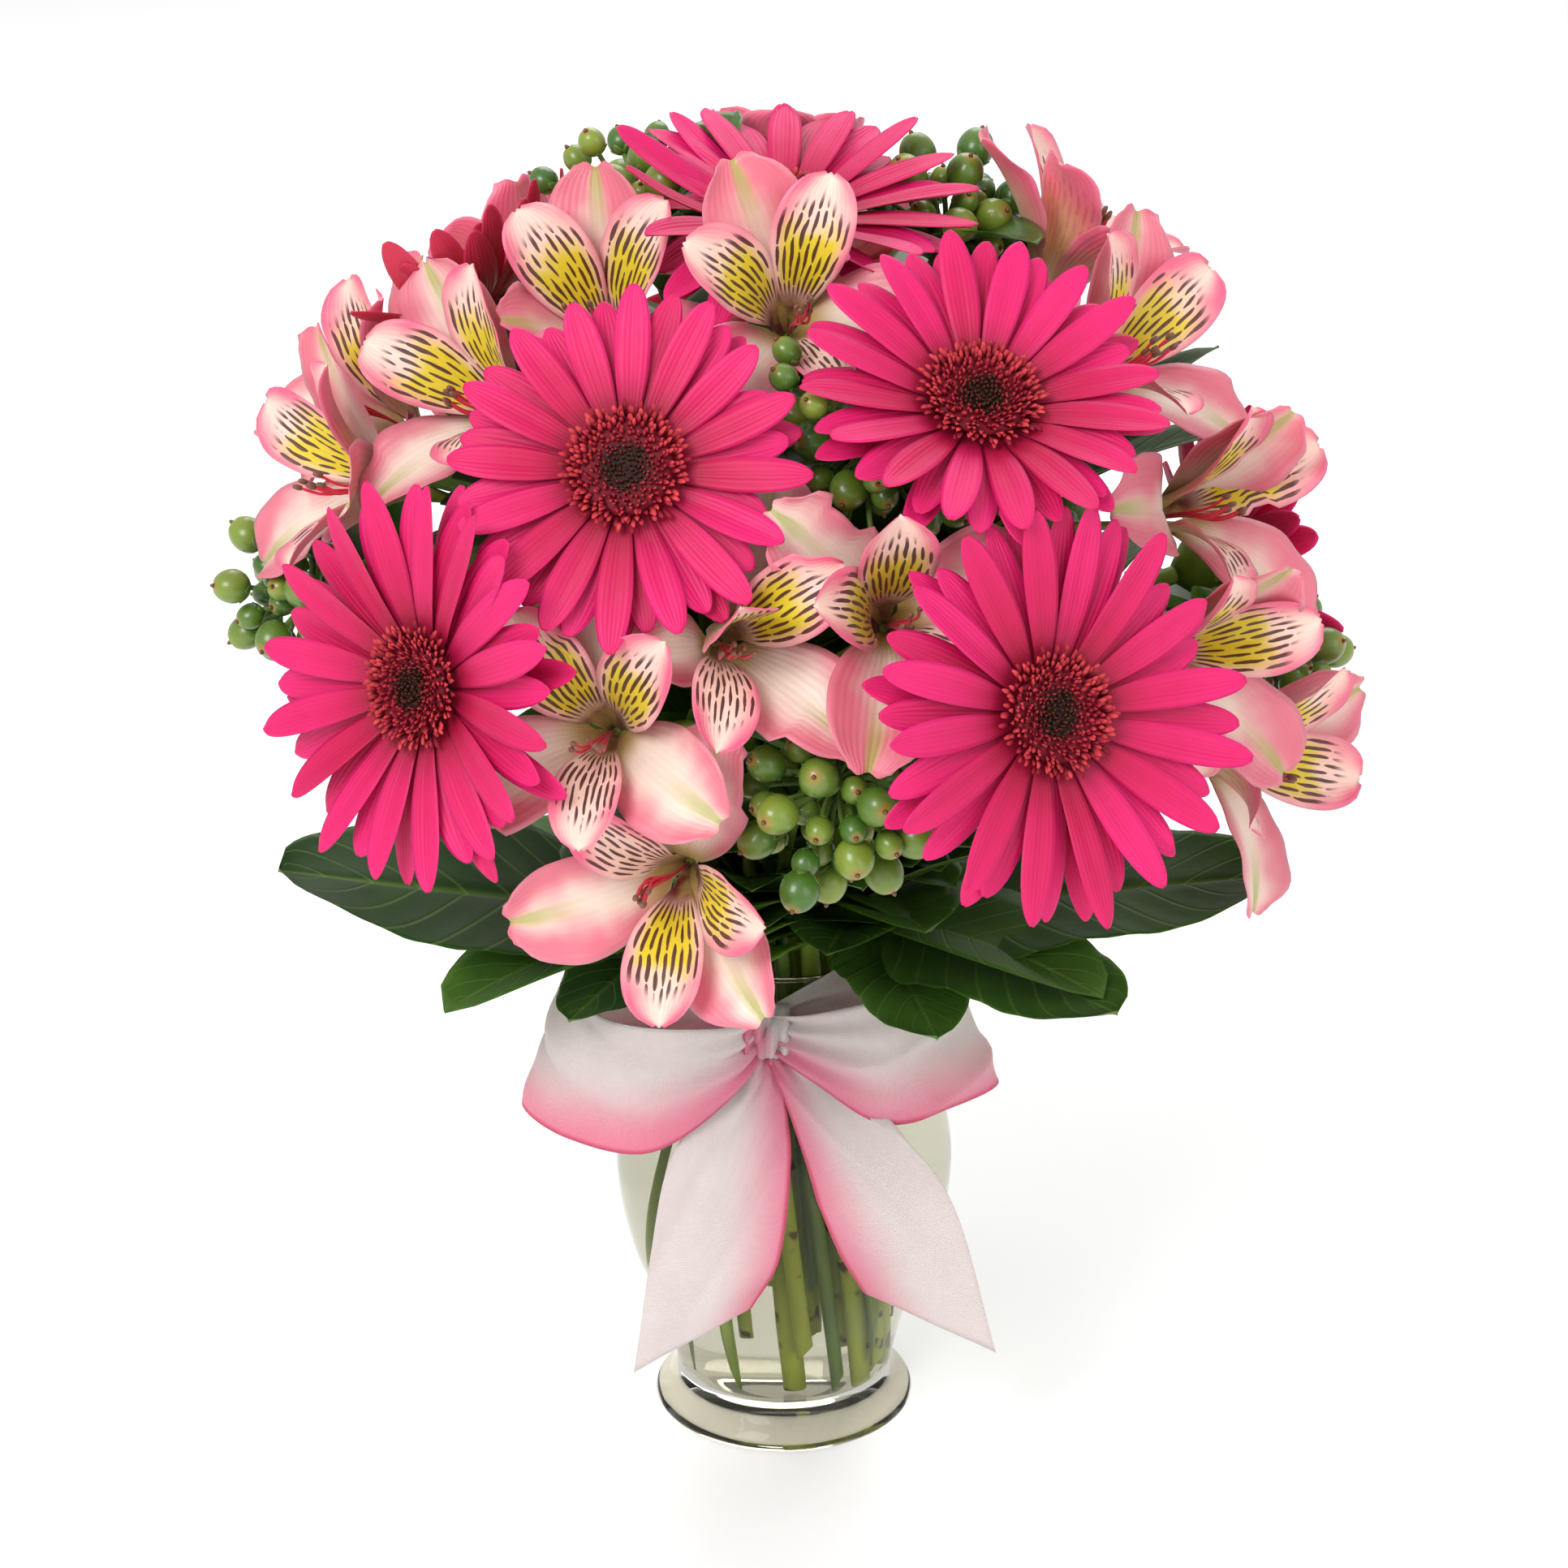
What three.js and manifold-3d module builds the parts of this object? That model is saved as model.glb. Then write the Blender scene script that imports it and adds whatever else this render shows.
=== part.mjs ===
// A vase of gerberas, alstroemerias and hypericum berries over a collar of broad leaves, tied with a ribbon
// bow. Millimetres, +Z up. The vase stands on z = 0 with its axis on the Z axis, and the front is towards
// -Y. The flowers fill a dome. A place in the dome is a bearing (degrees, 0 is the front, 90 the right
// side), a rise (degrees above the horizontal) and a reach (millimetres from the dome's heart). The way a
// flower faces is a bearing and a rise too.
import * as THREE from "three";
import { mergeVertices } from "three/addons/utils/BufferGeometryUtils.js";
import Module from "manifold-3d";

const wasm = await Module();
wasm.setup();

// -------------------------------------------------------- driving dimensions

const GAP = 0.35; // clear air between neighbouring pieces
const HEART = new THREE.Vector3(0, 0, 240); // the middle of the dome of flowers

const VASE = { sides: 22, wall: 2.4, floor: 10, neck: 26, neckZ: 139, rimZ: 154 };
const WATER_Z = 116;

// Stems stand in three rings in the neck of the vase and fan out above it.
const RING = { outer: 19, middle: 11.5, inner: 4.2 };
const FAN_Z = 152; // where the fan begins
const TWIST = 34; // degrees that the bundle turns between its feet and the neck
const LEAN = 4; // the feet stand this far to the right

const GERBERA = {
  eye: 14.5, // radius of the ring of small florets
  width: 11,
  thick: 1.1,
  stem: 2.7,
  calyx: 13, // depth of the green cup
};

const ALSTROEMERIA = {
  outer: { length: 45, width: 24 },
  inner: { length: 44, width: 16.5 },
  thick: 1,
  throat: 9, // depth of the closed foot that the six tepals rise from
  foot: 6, // its radius
  stem: 2.3,
  stalk: 1.3,
};

const BERRY = { length: 11.5, radius: 5.2, stalk: 0.8, stem: 1.9 };
const LEAF_STEM = 1.8;
const RIBBON_THICK = 0.8;
const LEAF = {
  from: 1.7, // its root lies this far from the middle of the hub
  thick: 1.1,
  cup: 0.1,
  wave: 1.6,
  waves: 2.2,
  root: 0.04,
  waist: 1.6,
  widest: 0.42,
  point: 1.5,
};

const COLOUR = {
  glass: 0xdfe6df,
  water: 0xe6ece6,
  ribbon: 0xf3dfe0,
  petal: 0xe8246f,
  eye: 0x6e1a20,
  stem: 0x6f8f3a,
  tepal: 0xf0b4bd,
  berry: 0x5f8f34,
  leaf: 0x2c5226,
};

// -------------------------------------------------------- places, frames and repeatable numbers

const radians = THREE.MathUtils.degToRad;
const vector = (x, y, z) => new THREE.Vector3(x, y, z);

// The unit vector of a bearing and a rise.
function towards(bearing, rise) {
  const b = radians(bearing);
  const r = radians(rise);
  return vector(Math.sin(b) * Math.cos(r), -Math.cos(b) * Math.cos(r), Math.sin(r));
}

// The point of the dome at a bearing, a rise and a reach.
function inDome([bearing, rise, reach]) {
  return towards(bearing, rise).multiplyScalar(reach).add(HEART);
}

// A repeatable number from -1 to 1 for the n-th piece of a seeded flower.
function wobble(seed, n) {
  const x = Math.sin(seed * 12.9898 + n * 78.233) * 43758.5453;
  return (x - Math.floor(x)) * 2 - 1;
}

// A frame with +Z along a face and +Y up, turned clockwise by roll degrees as the face is seen.
function facing(origin, face, roll = 0) {
  const z = towards(...face);
  const y = vector(0, 0, 1).addScaledVector(z, -z.z).normalize();
  const x = new THREE.Vector3().crossVectors(y, z);
  const frame = new THREE.Matrix4().makeBasis(x, y, z);
  frame.multiply(new THREE.Matrix4().makeRotationZ(-radians(roll)));
  return frame.setPosition(origin);
}

// -------------------------------------------------------- solids

// A geometry from its points and its faces.
function meshed(points, faces) {
  const geometry = new THREE.BufferGeometry();
  geometry.setAttribute("position", new THREE.Float32BufferAttribute(points.flat(), 3));
  return geometry.setIndex(faces.flat());
}

// A closed geometry, moved by a matrix, as a solid that can be joined and cut.
function solid(geometry, matrix) {
  const bare = geometry.clone();
  bare.deleteAttribute("normal");
  bare.deleteAttribute("uv");
  if (matrix) bare.applyMatrix4(matrix);
  const merged = mergeVertices(bare, 1e-4);
  const mesh = new wasm.Mesh({
    numProp: 3,
    vertProperties: merged.attributes.position.array,
    triVerts: new Uint32Array(merged.index.array),
  });
  return new wasm.Manifold(mesh);
}

// A tube with flat ends through points.
function tube(points, radius, sides) {
  const corners = [];
  const faces = [];
  const side = vector(1, 0, 0);
  points.forEach((point, i) => {
    const way = (points[i + 1] ?? point).clone().sub(points[i - 1] ?? point).normalize();
    if (i === 0 && Math.abs(way.x) > 0.9) side.set(0, 1, 0);
    side.addScaledVector(way, -side.dot(way)).normalize();
    const other = new THREE.Vector3().crossVectors(way, side);
    for (let k = 0; k < sides; k++) {
      const a = (2 * Math.PI * k) / sides;
      const corner = point.clone().addScaledVector(side, radius * Math.cos(a));
      corners.push(corner.addScaledVector(other, radius * Math.sin(a)));
      const [here, next] = [i * sides + k, i * sides + ((k + 1) % sides)];
      if (i > 0) faces.push([here - sides, next - sides, next], [here - sides, next, here]);
      if (i === 0 && k > 1) faces.push([here, here - 1, 0]);
      if (i === points.length - 1 && k > 1) faces.push([i * sides, here - 1, here]);
    }
  });
  return meshed(corners.map((c) => c.toArray()), faces);
}

// A solid of revolution about +Z from a profile of [radius, z] points that starts and ends on the axis.
function turned(profile, sides) {
  const points = profile.map(([r, z]) => new THREE.Vector2(r, z));
  return new THREE.LatheGeometry(points, sides).rotateX(Math.PI / 2);
}

// -------------------------------------------------------- blades: petals, tepals and leaves

// The share of its full width that a blade has at t, from 0 at the root to 1 at the tip. A waist over 1
// keeps it narrow for longer.
function outline(t, { root, widest, point, waist = 1 }) {
  if (t < widest) return root + (1 - root) * Math.sin((Math.PI / 2) * (t / widest)) ** waist;
  return Math.sqrt(Math.max(0, 1 - ((t - widest) / (1 - widest)) ** point));
}

// The middle line of a blade bends in a circular arc from the angle start to the angle end, in degrees
// above the plane that it spreads in. Gives how far out and up it is at t, and its angle there.
function arc(t, { length, start, end }) {
  const turn = radians(end - start) * t;
  const half = turn / 2;
  const chord = length * t * (Math.abs(half) > 1e-6 ? Math.sin(half) / half : 1);
  const a = radians(start) + half;
  return [chord * Math.cos(a), chord * Math.sin(a), radians(start) + turn];
}

// A closed blade in its own frame: +Y out along the blade, +Z up off its face, its root at the origin. It
// is thick along the middle and runs out to thin edges. along holds the places of its rows from 0 at the
// root, and over and under the places between the edges, from -1 to 1, of the points on its two faces.
function blade(form) {
  const { length, width, thick, cup = 0, wave = 0, waves = 0, along, over, under } = form;
  const points = [];
  const put = (t, u, side) => {
    const [out, up, angle] = arc(t, form);
    const half = (outline(t, form) * width) / 2;
    const ripple = wave * Math.abs(u) * Math.sin(2 * Math.PI * waves * t + (u > 0 ? 0 : 1.2));
    const off = cup * half * u * u + ripple + (side * thick * (1 - u * u)) / 2;
    return points.push([half * u, out - off * Math.sin(angle), up + off * Math.cos(angle)]) - 1;
  };
  const rows = along.map((t) => {
    const [left, right] = [put(t, -1, 0), put(t, 1, 0)];
    const row = (places, side) => [left, ...places.map((u) => put(t, u, side)), right];
    return { top: row(over, 1), bottom: row(under, -1) };
  });
  const [out, up] = arc(1, form);
  const tip = points.push([0, out, up]) - 1;
  const faces = [];
  // Both faces are split along the same diagonals, or they would cross where the blade is waved.
  const stitch = (a, b, way) => {
    for (let j = 0; j + 1 < a.length; j++) {
      const halves = b ? [[a[j], a[j + 1], b[j + 1]], [a[j], b[j + 1], b[j]]] : [[a[j], a[j + 1], tip]];
      faces.push(...halves.map((half) => (way < 0 ? half.toReversed() : half)));
    }
  };
  rows.forEach(({ top, bottom }, i) => {
    stitch(top, rows[i + 1]?.top, 1);
    stitch(bottom, rows[i + 1]?.bottom, -1);
  });
  const root = [...rows[0].bottom, ...rows[0].top.slice(1, -1).toReversed()];
  for (let k = 1; k + 1 < root.length; k++) faces.push([root[0], root[k], root[k + 1]]);
  return meshed(points, faces);
}

// Petals round an axis as a closed body: one of them, or all of them as a star. The star has petals at
// angles, and the notches between them lie out from the axis and up. Its middle is dished to the height
// dish and its underside ends at the height foot. Each petal is a fan of faces round a point of its rib,
// above and below.
function petalStar(petals, { angles, out, up, dish, foot, rib, rows }) {
  const points = [[0, 0, dish], [0, 0, foot]];
  const faces = [];
  const put = (angle, x, y, z) => {
    const a = radians(angle);
    return points.push([x * Math.cos(a) + y * Math.sin(a), y * Math.cos(a) - x * Math.sin(a), z]) - 1;
  };
  const notches = [];
  const notch = (i) => {
    const before = angles[i - 1] ?? angles.at(-1) - 360;
    return (notches[i] ??= put((before + angles[i]) / 2, 0, out, up));
  };
  for (const form of petals) {
    const at = (t, u, side) => {
      const [along, above, angle] = arc(t, form);
      const half = (outline(t, form) * form.width) / 2;
      const off = form.cup * half * u * u + (side * form.thick) / 2;
      const y = out + along - off * Math.sin(angle);
      return put(angles[form.index] + form.aside, u * half, y, up + above + off * Math.cos(angle));
    };
    const edge = (u) => rows.map((t) => at(t, u, 0));
    const rim = [...edge(1), at(1, 0, 0), ...edge(-1).toReversed()];
    const [left, right] = [notch(form.index), notch((form.index + 1) % angles.length)];
    const [over, under] = [at(rib, 0, 1), at(rib, 0, -1)];
    const fan = (ring, middle) => ring.forEach((v, k) => faces.push([v, ring[(k + 1) % ring.length], middle]));
    fan([0, right, ...rim, left], over);
    fan([1, left, ...rim.toReversed(), right], under);
    if (petals.length < angles.length) faces.push([0, left, 1], [right, 0, 1]);
  }
  return meshed(points, faces);
}

// -------------------------------------------------------- fitting pieces in beside each other

const nodes = new Map(); // a node's name to its colour and the solids that it is fused from
const placed = []; // every solid so far, with its box and its node's name

function boxesMeet(a, b) {
  return a.min.every((low, k) => low < b.max[k] + GAP) && b.min.every((low, k) => low < a.max[k] + GAP);
}

function isClear(body, node) {
  const box = body.boundingBox();
  const others = placed.filter((p) => p.node !== node && boxesMeet(p.box, box));
  return others.every((p) => body.minGap(p.body, GAP) > 0.99 * GAP);
}

function place(node, colour, body) {
  if (!nodes.has(node)) nodes.set(node, { colour, bodies: [] });
  nodes.get(node).bodies.push(body);
  placed.push({ node, body, box: body.boundingBox() });
}

// Places the first of several forms of a piece that stays clear of every other node, and returns that form.
// It may touch its fellows in its own node, and doesn't cut into them. A piece with no room in any form is
// left out.
function fit(node, colour, forms, make, fellows = []) {
  for (const form of forms) {
    const body = make(form);
    if (!isClear(body, node) || fellows.some((f) => body.intersect(f).volume() > 0.01)) continue;
    place(node, colour, body);
    fellows.push(body);
    return form;
  }
  return undefined;
}

// The forms of a blade that is bent up or down, and at need shortened, to pass its neighbours.
const BENDS = [0, 5, -5, 10, -10, 16, -16, 23, -23, 31, -31, 40, -40, 50, -50];
const SHORTENINGS = [1, 0.88, 0.76, 0.64, 0.5, 0.35, 0.2, 0.04];
function bent(form) {
  return SHORTENINGS.flatMap((share) =>
    BENDS.map((bend) => ({
      ...form,
      length: form.length * share,
      width: form.width * (0.45 + 0.55 * share),
      start: form.start + bend / 3,
      end: form.end + bend,
    })),
  );
}

// Fits the petals of a star in one by one, and then gives the whole star.
function fitStar(node, colour, petals, star, frame) {
  const make = (form) => solid(petalStar([form], star), frame);
  const fellows = [];
  const found = petals.map((petal) => fit(node, colour, bent(petal), make, fellows));
  return solid(petalStar(found, star), frame);
}

// The forms of a stem whose middle sways aside to pass its neighbours.
const SWAYS = [0, 7, 14, 22, 30].flatMap((r) => {
  const angles = r ? [0, 45, 90, 135, 180, 225, 270, 315] : [0];
  return angles.map((a) => [r * Math.cos(radians(a)), r * Math.sin(radians(a))]);
});
function swayed(ends) {
  return SWAYS.map((sway) => ({ ...ends, sway }));
}

// A stem's bent part: from a point and direction to another point and direction.
function bow({ from, leaving, to, arriving, sway }) {
  const side = new THREE.Vector3().crossVectors(vector(0, 0, 1), to.clone().sub(from)).normalize();
  const front = new THREE.Vector3().crossVectors(side, to.clone().sub(from)).normalize();
  const aside = side.multiplyScalar(sway[0]).addScaledVector(front, sway[1]);
  const first = from.clone().add(leaving).addScaledVector(aside, 0.5);
  const second = to.clone().sub(arriving).add(aside);
  return new THREE.CubicBezierCurve3(from, first, second, to);
}

// -------------------------------------------------------- vase and water

// The outside of the glass, [radius, z] from the foot to the rim.
const VASE_OUTSIDE = [
  [37.5, 0],
  [39, 2.5],
  [31.3, 12.5],
  [37, 32],
  [46, 55],
  [50.2, 80],
  [47, 103],
  [41, WATER_Z],
  [VASE.neck + 0.6, 134],
  [VASE.neck, VASE.neckZ],
  [VASE.neck + 0.6, 144],
  [31.5, VASE.rimZ],
];
const VASE_INSIDE = [
  [0, VASE.floor],
  [26.5, VASE.floor + 0.6],
  ...VASE_OUTSIDE.filter(([r, z]) => z > VASE.floor + 2).map(([r, z]) => [r - VASE.wall, z]),
];

function makeVase() {
  const profile = [[0, 0], ...VASE_OUTSIDE, ...VASE_INSIDE.toReversed()];
  place("vase", COLOUR.glass, solid(turned(profile, VASE.sides)));
}

function makeWater() {
  const wall = VASE_INSIDE.filter(([r, z]) => r > 0 && z <= WATER_Z);
  const side = wall.map(([r, z]) => [r - 0.45, z + 0.4]);
  const profile = [[0, VASE.floor + 0.4], ...side, [0, WATER_Z + 0.4]];
  return solid(turned(profile, VASE.sides));
}

// -------------------------------------------------------- stems

// A stem stands at a slot, [ring, bearing, cut], in the neck. Its straight part runs down into the water,
// and cut is the share of it that is cut off below.
function straight([ring, bearing, cut]) {
  const neck = towards(bearing, 0).multiplyScalar(RING[ring]).setZ(FAN_Z);
  const foot = towards(bearing + TWIST, 0).multiplyScalar(RING[ring]).setZ(VASE.floor + 1.4);
  foot.x += LEAN;
  const end = foot.clone().lerp(neck, cut);
  return { end, neck, way: neck.clone().sub(foot).normalize() };
}

const holes = []; // the stems, a gap wider, that the water stands round

// Places a stem from the water to a head. reach is the length of the bend's handle below the head.
function stem(node, colour, { slot }, radius, to, face, reach) {
  const { end, neck, way } = straight(slot);
  const leaving = way.multiplyScalar(0.35 * to.distanceTo(neck));
  const ends = { from: neck, leaving, to, arriving: towards(...face).multiplyScalar(reach) };
  const make = (form, wider = 0) => solid(tube([end, ...bow(form).getPoints(6)], radius + wider, 5));
  holes.push(make(fit(node, colour, swayed(ends), make), GAP));
}

// -------------------------------------------------------- gerberas

// bend holds the angles of the upper petals at the root and the tip. The lower ones hang below them.
const GERBERAS = [
  { name: "gerbera_1", at: [-21, 40, 148], face: [-8, 33], radius: 48, bend: [12, 0], slot: ["middle", -40, 0] },
  { name: "gerbera_2", at: [31, 47, 146], face: [14, 55], radius: 50, bend: [24, 12], slot: ["middle", 40, 0.1] },
  { name: "gerbera_3", at: [-41, 14, 150], face: [-43, 13], radius: 55, bend: [17, 4], slot: ["outer", -48, 0.3] },
  { name: "gerbera_4", at: [28, 14, 152], face: [29, 22], radius: 56, bend: [17, 4], slot: ["outer", 24, 0] },
  { name: "gerbera_5", at: [0, 84, 138], face: [0, 78], radius: 54, bend: [18, 2], slot: ["inner", 0, 0.15] },
  { name: "gerbera_6", at: [-95, 50, 136], face: [-125, 54], radius: 48, bend: [11, 56], slot: ["middle", -120, 0.3] },
  { name: "gerbera_7", at: [98, 11, 130], face: [112, 10], radius: 46, bend: [15, 33], slot: ["outer", 120, 0.1] },
  { name: "gerbera_8", at: [178, 32, 142], face: [178, 30], radius: 52, bend: [14, 0], slot: ["outer", 168, 0.2] },
];

// The two layers of petals: how many, how far out and up the notches between them are, and how much lower
// than the upper layer they start and end.
const PETAL_LAYERS = [
  { count: 16, out: 12.5, up: -0.3, share: 1, startDrop: 0, endDrop: 0 },
  { count: 10, out: 11.5, up: -1.5, share: 0.97, startDrop: 13, endDrop: 12 },
];

function gerberaEye() {
  const sides = 14;
  const profile = [[0, 1], [8.5, 1.2], [GERBERA.eye, 3.9], [11, 5.4], [0, 3.8]];
  const geometry = turned(profile, sides);
  const at = geometry.attributes.position;
  // Every other point of the ring is drawn in, which leaves the rest to stand out as the florets' tips.
  for (let i = 0; i < at.count; i++) {
    const [x, y, z] = [at.getX(i), at.getY(i), at.getZ(i)];
    const odd = Math.round((Math.atan2(y, x) / (2 * Math.PI)) * sides + sides) % 2;
    if (Math.hypot(x, y) > 11 && odd) at.setXYZ(i, x * 0.93, y * 0.93, z + 0.5);
  }
  return geometry;
}

function gerberaCalyx() {
  const { stem: r, calyx } = GERBERA;
  const profile = [[0, -3 - calyx], [r + 0.4, -3 - calyx], [7.5, -11], [10.5, -6.5], [10.5, -5], [0, -6.4]];
  return turned(profile, 8);
}

function makeGerberaStem(flower) {
  const head = inDome(flower.at);
  const node = `${flower.name}_stem`;
  place(node, COLOUR.stem, solid(gerberaCalyx(), facing(head, flower.face)));
  const foot = head.addScaledVector(towards(...flower.face), -GERBERA.calyx);
  stem(node, COLOUR.stem, flower, GERBERA.stem, foot, flower.face, 38);
}

// The eye, and the disc that the petals will grow from.
function makeGerberaEye(flower) {
  const frame = facing(inDome(flower.at), flower.face);
  place(`${flower.name}_eye`, COLOUR.eye, solid(gerberaEye(), frame));
  const disc = [[0, -5], [14.6, -2.6], [14.6, 0.4], [0, -1.8]];
  place(`${flower.name}_petals`, COLOUR.petal, solid(turned(disc, 10), frame));
}

function petalForms({ radius, bend: [start, end] }, layer, seed) {
  const { width, thick } = GERBERA;
  return Array.from({ length: layer.count }, (_, index) => ({
    width,
    thick,
    cup: 0.16,
    root: 0.5,
    widest: 0.56,
    point: 2.4,
    index,
    aside: 1.5 * wobble(seed, index + 120),
    length: (radius - layer.out) * (layer.share + 0.05 * wobble(seed, index)),
    start: start - layer.startDrop + 3 * wobble(seed, index + 40),
    end: end - layer.endDrop + 7 * wobble(seed, index + 80),
  }));
}

function makeGerberaPetals(flower) {
  const frame = facing(inDome(flower.at), flower.face);
  const node = `${flower.name}_petals`;
  const stars = PETAL_LAYERS.map((layer, i) => {
    const angles = Array.from({ length: layer.count }, (_, k) => (360 * k) / layer.count);
    const middle = { dish: layer.up - 1.5, foot: layer.up - 3.5 };
    const star = { ...layer, ...middle, angles, rib: 0.45, rows: [0.56, 0.84] };
    const petals = petalForms(flower, layer, 2 * GERBERAS.indexOf(flower) + i + 1);
    return fitStar(node, COLOUR.petal, petals, star, frame);
  });
  nodes.get(node).bodies = stars;
}

// -------------------------------------------------------- alstroemerias

// Each spray is a stem that ends in an umbel, at a place in the dome. Its flowers stand on stalks from
// there. A flower's place is that of its throat.
const SPRAYS = [
  { name: "alstroemeria_left", umbel: [-76, 36, 72], slot: ["middle", -80, 0.25] },
  { name: "alstroemeria_top", umbel: [40, 66, 74], slot: ["inner", 120, 0.1] },
  { name: "alstroemeria_centre", umbel: [-10, 10, 72], slot: ["outer", -24, 0.1] },
  { name: "alstroemeria_right", umbel: [70, 38, 76], slot: ["middle", 80, 0.2] },
  { name: "alstroemeria_low_right", umbel: [64, 6, 74], slot: ["outer", 48, 0] },
  { name: "alstroemeria_back", umbel: [180, 36, 72], slot: ["outer", -168, 0.15] },
];
const BLOOMS = [
  { name: "bloom_1", spray: "left", at: [-64, 46, 126], face: [-50, 36], roll: -45 },
  { name: "bloom_2", spray: "left", at: [-58, 62, 124], face: [-22, 46], roll: -8 },
  { name: "bloom_3", spray: "top", at: [2, 66, 132], face: [4, 38], roll: -25 },
  { name: "bloom_4", spray: "left", at: [-80, 28, 133], face: [-70, 20], roll: -30 },
  { name: "bloom_5", spray: "left", at: [-91, 34, 135], face: [-78, 44], roll: -10 },
  { name: "bloom_6", spray: "centre", at: [-22, 12, 130], face: [-12, 22], roll: 0 },
  { name: "bloom_7", spray: "centre", at: [-13, -6, 128], face: [-12, 4], roll: 135 },
  { name: "bloom_8", spray: "centre", at: [-7, 24, 130], face: [14, 24], roll: 20 },
  { name: "bloom_9", spray: "centre", at: [14, 26, 130], face: [8, 30], roll: -46 },
  { name: "bloom_10", spray: "right", at: [76, 46, 134], face: [58, 42], roll: 35 },
  { name: "bloom_11", spray: "right", at: [72, 27, 132], face: [50, 26], roll: 40 },
  { name: "bloom_12", spray: "low_right", at: [58, 12, 130], face: [44, 14], roll: 34 },
  { name: "bloom_13", spray: "low_right", at: [74, -6, 132], face: [58, 2], roll: 75 },
  { name: "bloom_14", spray: "top", at: [97, 56, 140], face: [104, 58], roll: 0 },
  { name: "bloom_15", spray: "back", at: [146, 22, 130], face: [146, 22], roll: 20 },
  { name: "bloom_16", spray: "back", at: [-150, 18, 130], face: [-150, 18], roll: -20 },
  { name: "bloom_17", spray: "back", at: [180, 64, 126], face: [180, 56], roll: 0 },
  { name: "bloom_18", spray: "back", at: [-132, 40, 128], face: [-134, 34], roll: 10 },
];

// The base of a flower's funnel lies behind its throat.
const THROAT_DEPTH = 17;
function bloomBase(bloom) {
  return inDome(bloom.at).addScaledVector(towards(...bloom.face), -THROAT_DEPTH);
}

// A flower's closed foot widens up to the notches between six tepals: broad ones at the top and the sides,
// and between them three narrow ones in front, of which the upper two stand close together.
const BLOOM_STAR = {
  angles: [0, 42, 118, 180, 242, 318],
  out: ALSTROEMERIA.foot - 1,
  up: ALSTROEMERIA.throat,
  dish: 4,
  foot: 0,
  rib: 0.5,
  rows: [0.6, 0.86],
};
function tepals(seed) {
  const { outer, inner, thick } = ALSTROEMERIA;
  const shape = { root: 0.14, point: 2.4, thick };
  const broad = { ...shape, ...outer, cup: 0.2, waist: 1.4, widest: 0.66, start: 58, end: -2 };
  const narrow = { ...shape, ...inner, cup: 0.26, waist: 1.7, widest: 0.7, start: 79, end: 24 };
  const lip = { ...narrow, length: inner.length * 0.92, width: inner.width * 0.85, end: 14 };
  return [{ ...broad, end: 20 }, narrow, broad, lip, broad, narrow].map((form, index) => ({
    ...form,
    index,
    aside: 3 * wobble(seed, index + 20),
    start: form.start + 3 * wobble(seed, index),
    end: form.end + 9 * wobble(seed, index + 10),
  }));
}

function makeSprayStem(spray) {
  const at = inDome(spray.umbel);
  stem(`${spray.name}_stem`, COLOUR.stem, spray, ALSTROEMERIA.stem, at, spray.umbel.slice(0, 2), 30);
}

function makeStalk(bloom) {
  const spray = SPRAYS.find((s) => s.name === `alstroemeria_${bloom.spray}`);
  const face = towards(...bloom.face);
  const leaving = towards(...spray.umbel.slice(0, 2)).multiplyScalar(12);
  const from = inDome(spray.umbel).addScaledVector(leaving, -0.1);
  const to = bloomBase(bloom).addScaledVector(face, -0.6);
  const ends = { from, leaving, to, arriving: face.clone().multiplyScalar(16) };
  const make = (form) => solid(tube(bow(form).getPoints(4), ALSTROEMERIA.stalk, 4));
  fit(`${spray.name}_stem`, COLOUR.stem, swayed(ends), make);
}

// The room for the foot, until the tepals are in.
function makeBloomFoot(bloom) {
  const { foot, throat } = ALSTROEMERIA;
  const profile = [[0, 0], [foot, throat - 0.5], [foot, throat + 1.5], [0, throat]];
  place(bloom.name, COLOUR.tepal, solid(turned(profile, 8), facing(bloomBase(bloom), bloom.face)));
}

function makeTepals(bloom) {
  const frame = facing(bloomBase(bloom), bloom.face, bloom.roll);
  const petals = tepals(BLOOMS.indexOf(bloom) + 21);
  nodes.get(bloom.name).bodies = [fitStar(bloom.name, COLOUR.tepal, petals, BLOOM_STAR, frame)];
}

// -------------------------------------------------------- hypericum

// A spray of berries spreads round a hub at a place in the dome.
const HYPERICUMS = [
  { name: "hypericum_1", hub: [-104, 72, 130], face: [-95, 66], spread: 22, count: 10, slot: ["middle", -160, 0.2] },
  { name: "hypericum_2", hub: [112, 68, 130], face: [110, 62], spread: 24, count: 12, slot: ["middle", 120, 0.3] },
  { name: "hypericum_3", hub: [16, 49, 122], face: [10, 42], spread: 22, count: 11, slot: ["middle", 0, 0.25] },
  { name: "hypericum_4", hub: [7, 6, 117], face: [6, 8], spread: 31, count: 18, slot: ["outer", 0, 0] },
  { name: "hypericum_5", hub: [-88, 10, 135], face: [-86, 12], spread: 22, count: 10, slot: ["outer", -96, 0.3] },
  { name: "hypericum_6", hub: [88, 1, 138], face: [86, 2], spread: 21, count: 9, slot: ["outer", 96, 0.1] },
];

// A berry on its stalk, which is as long as lift.
function berry(lift) {
  const { length, radius, stalk } = BERRY;
  const profile = [
    [0, 0],
    [stalk, 0],
    [stalk, lift],
    [radius * 0.88, lift + length * 0.3],
    [radius * 0.8, lift + length * 0.68],
    [0, lift + length],
  ];
  return turned(profile, 5);
}

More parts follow.
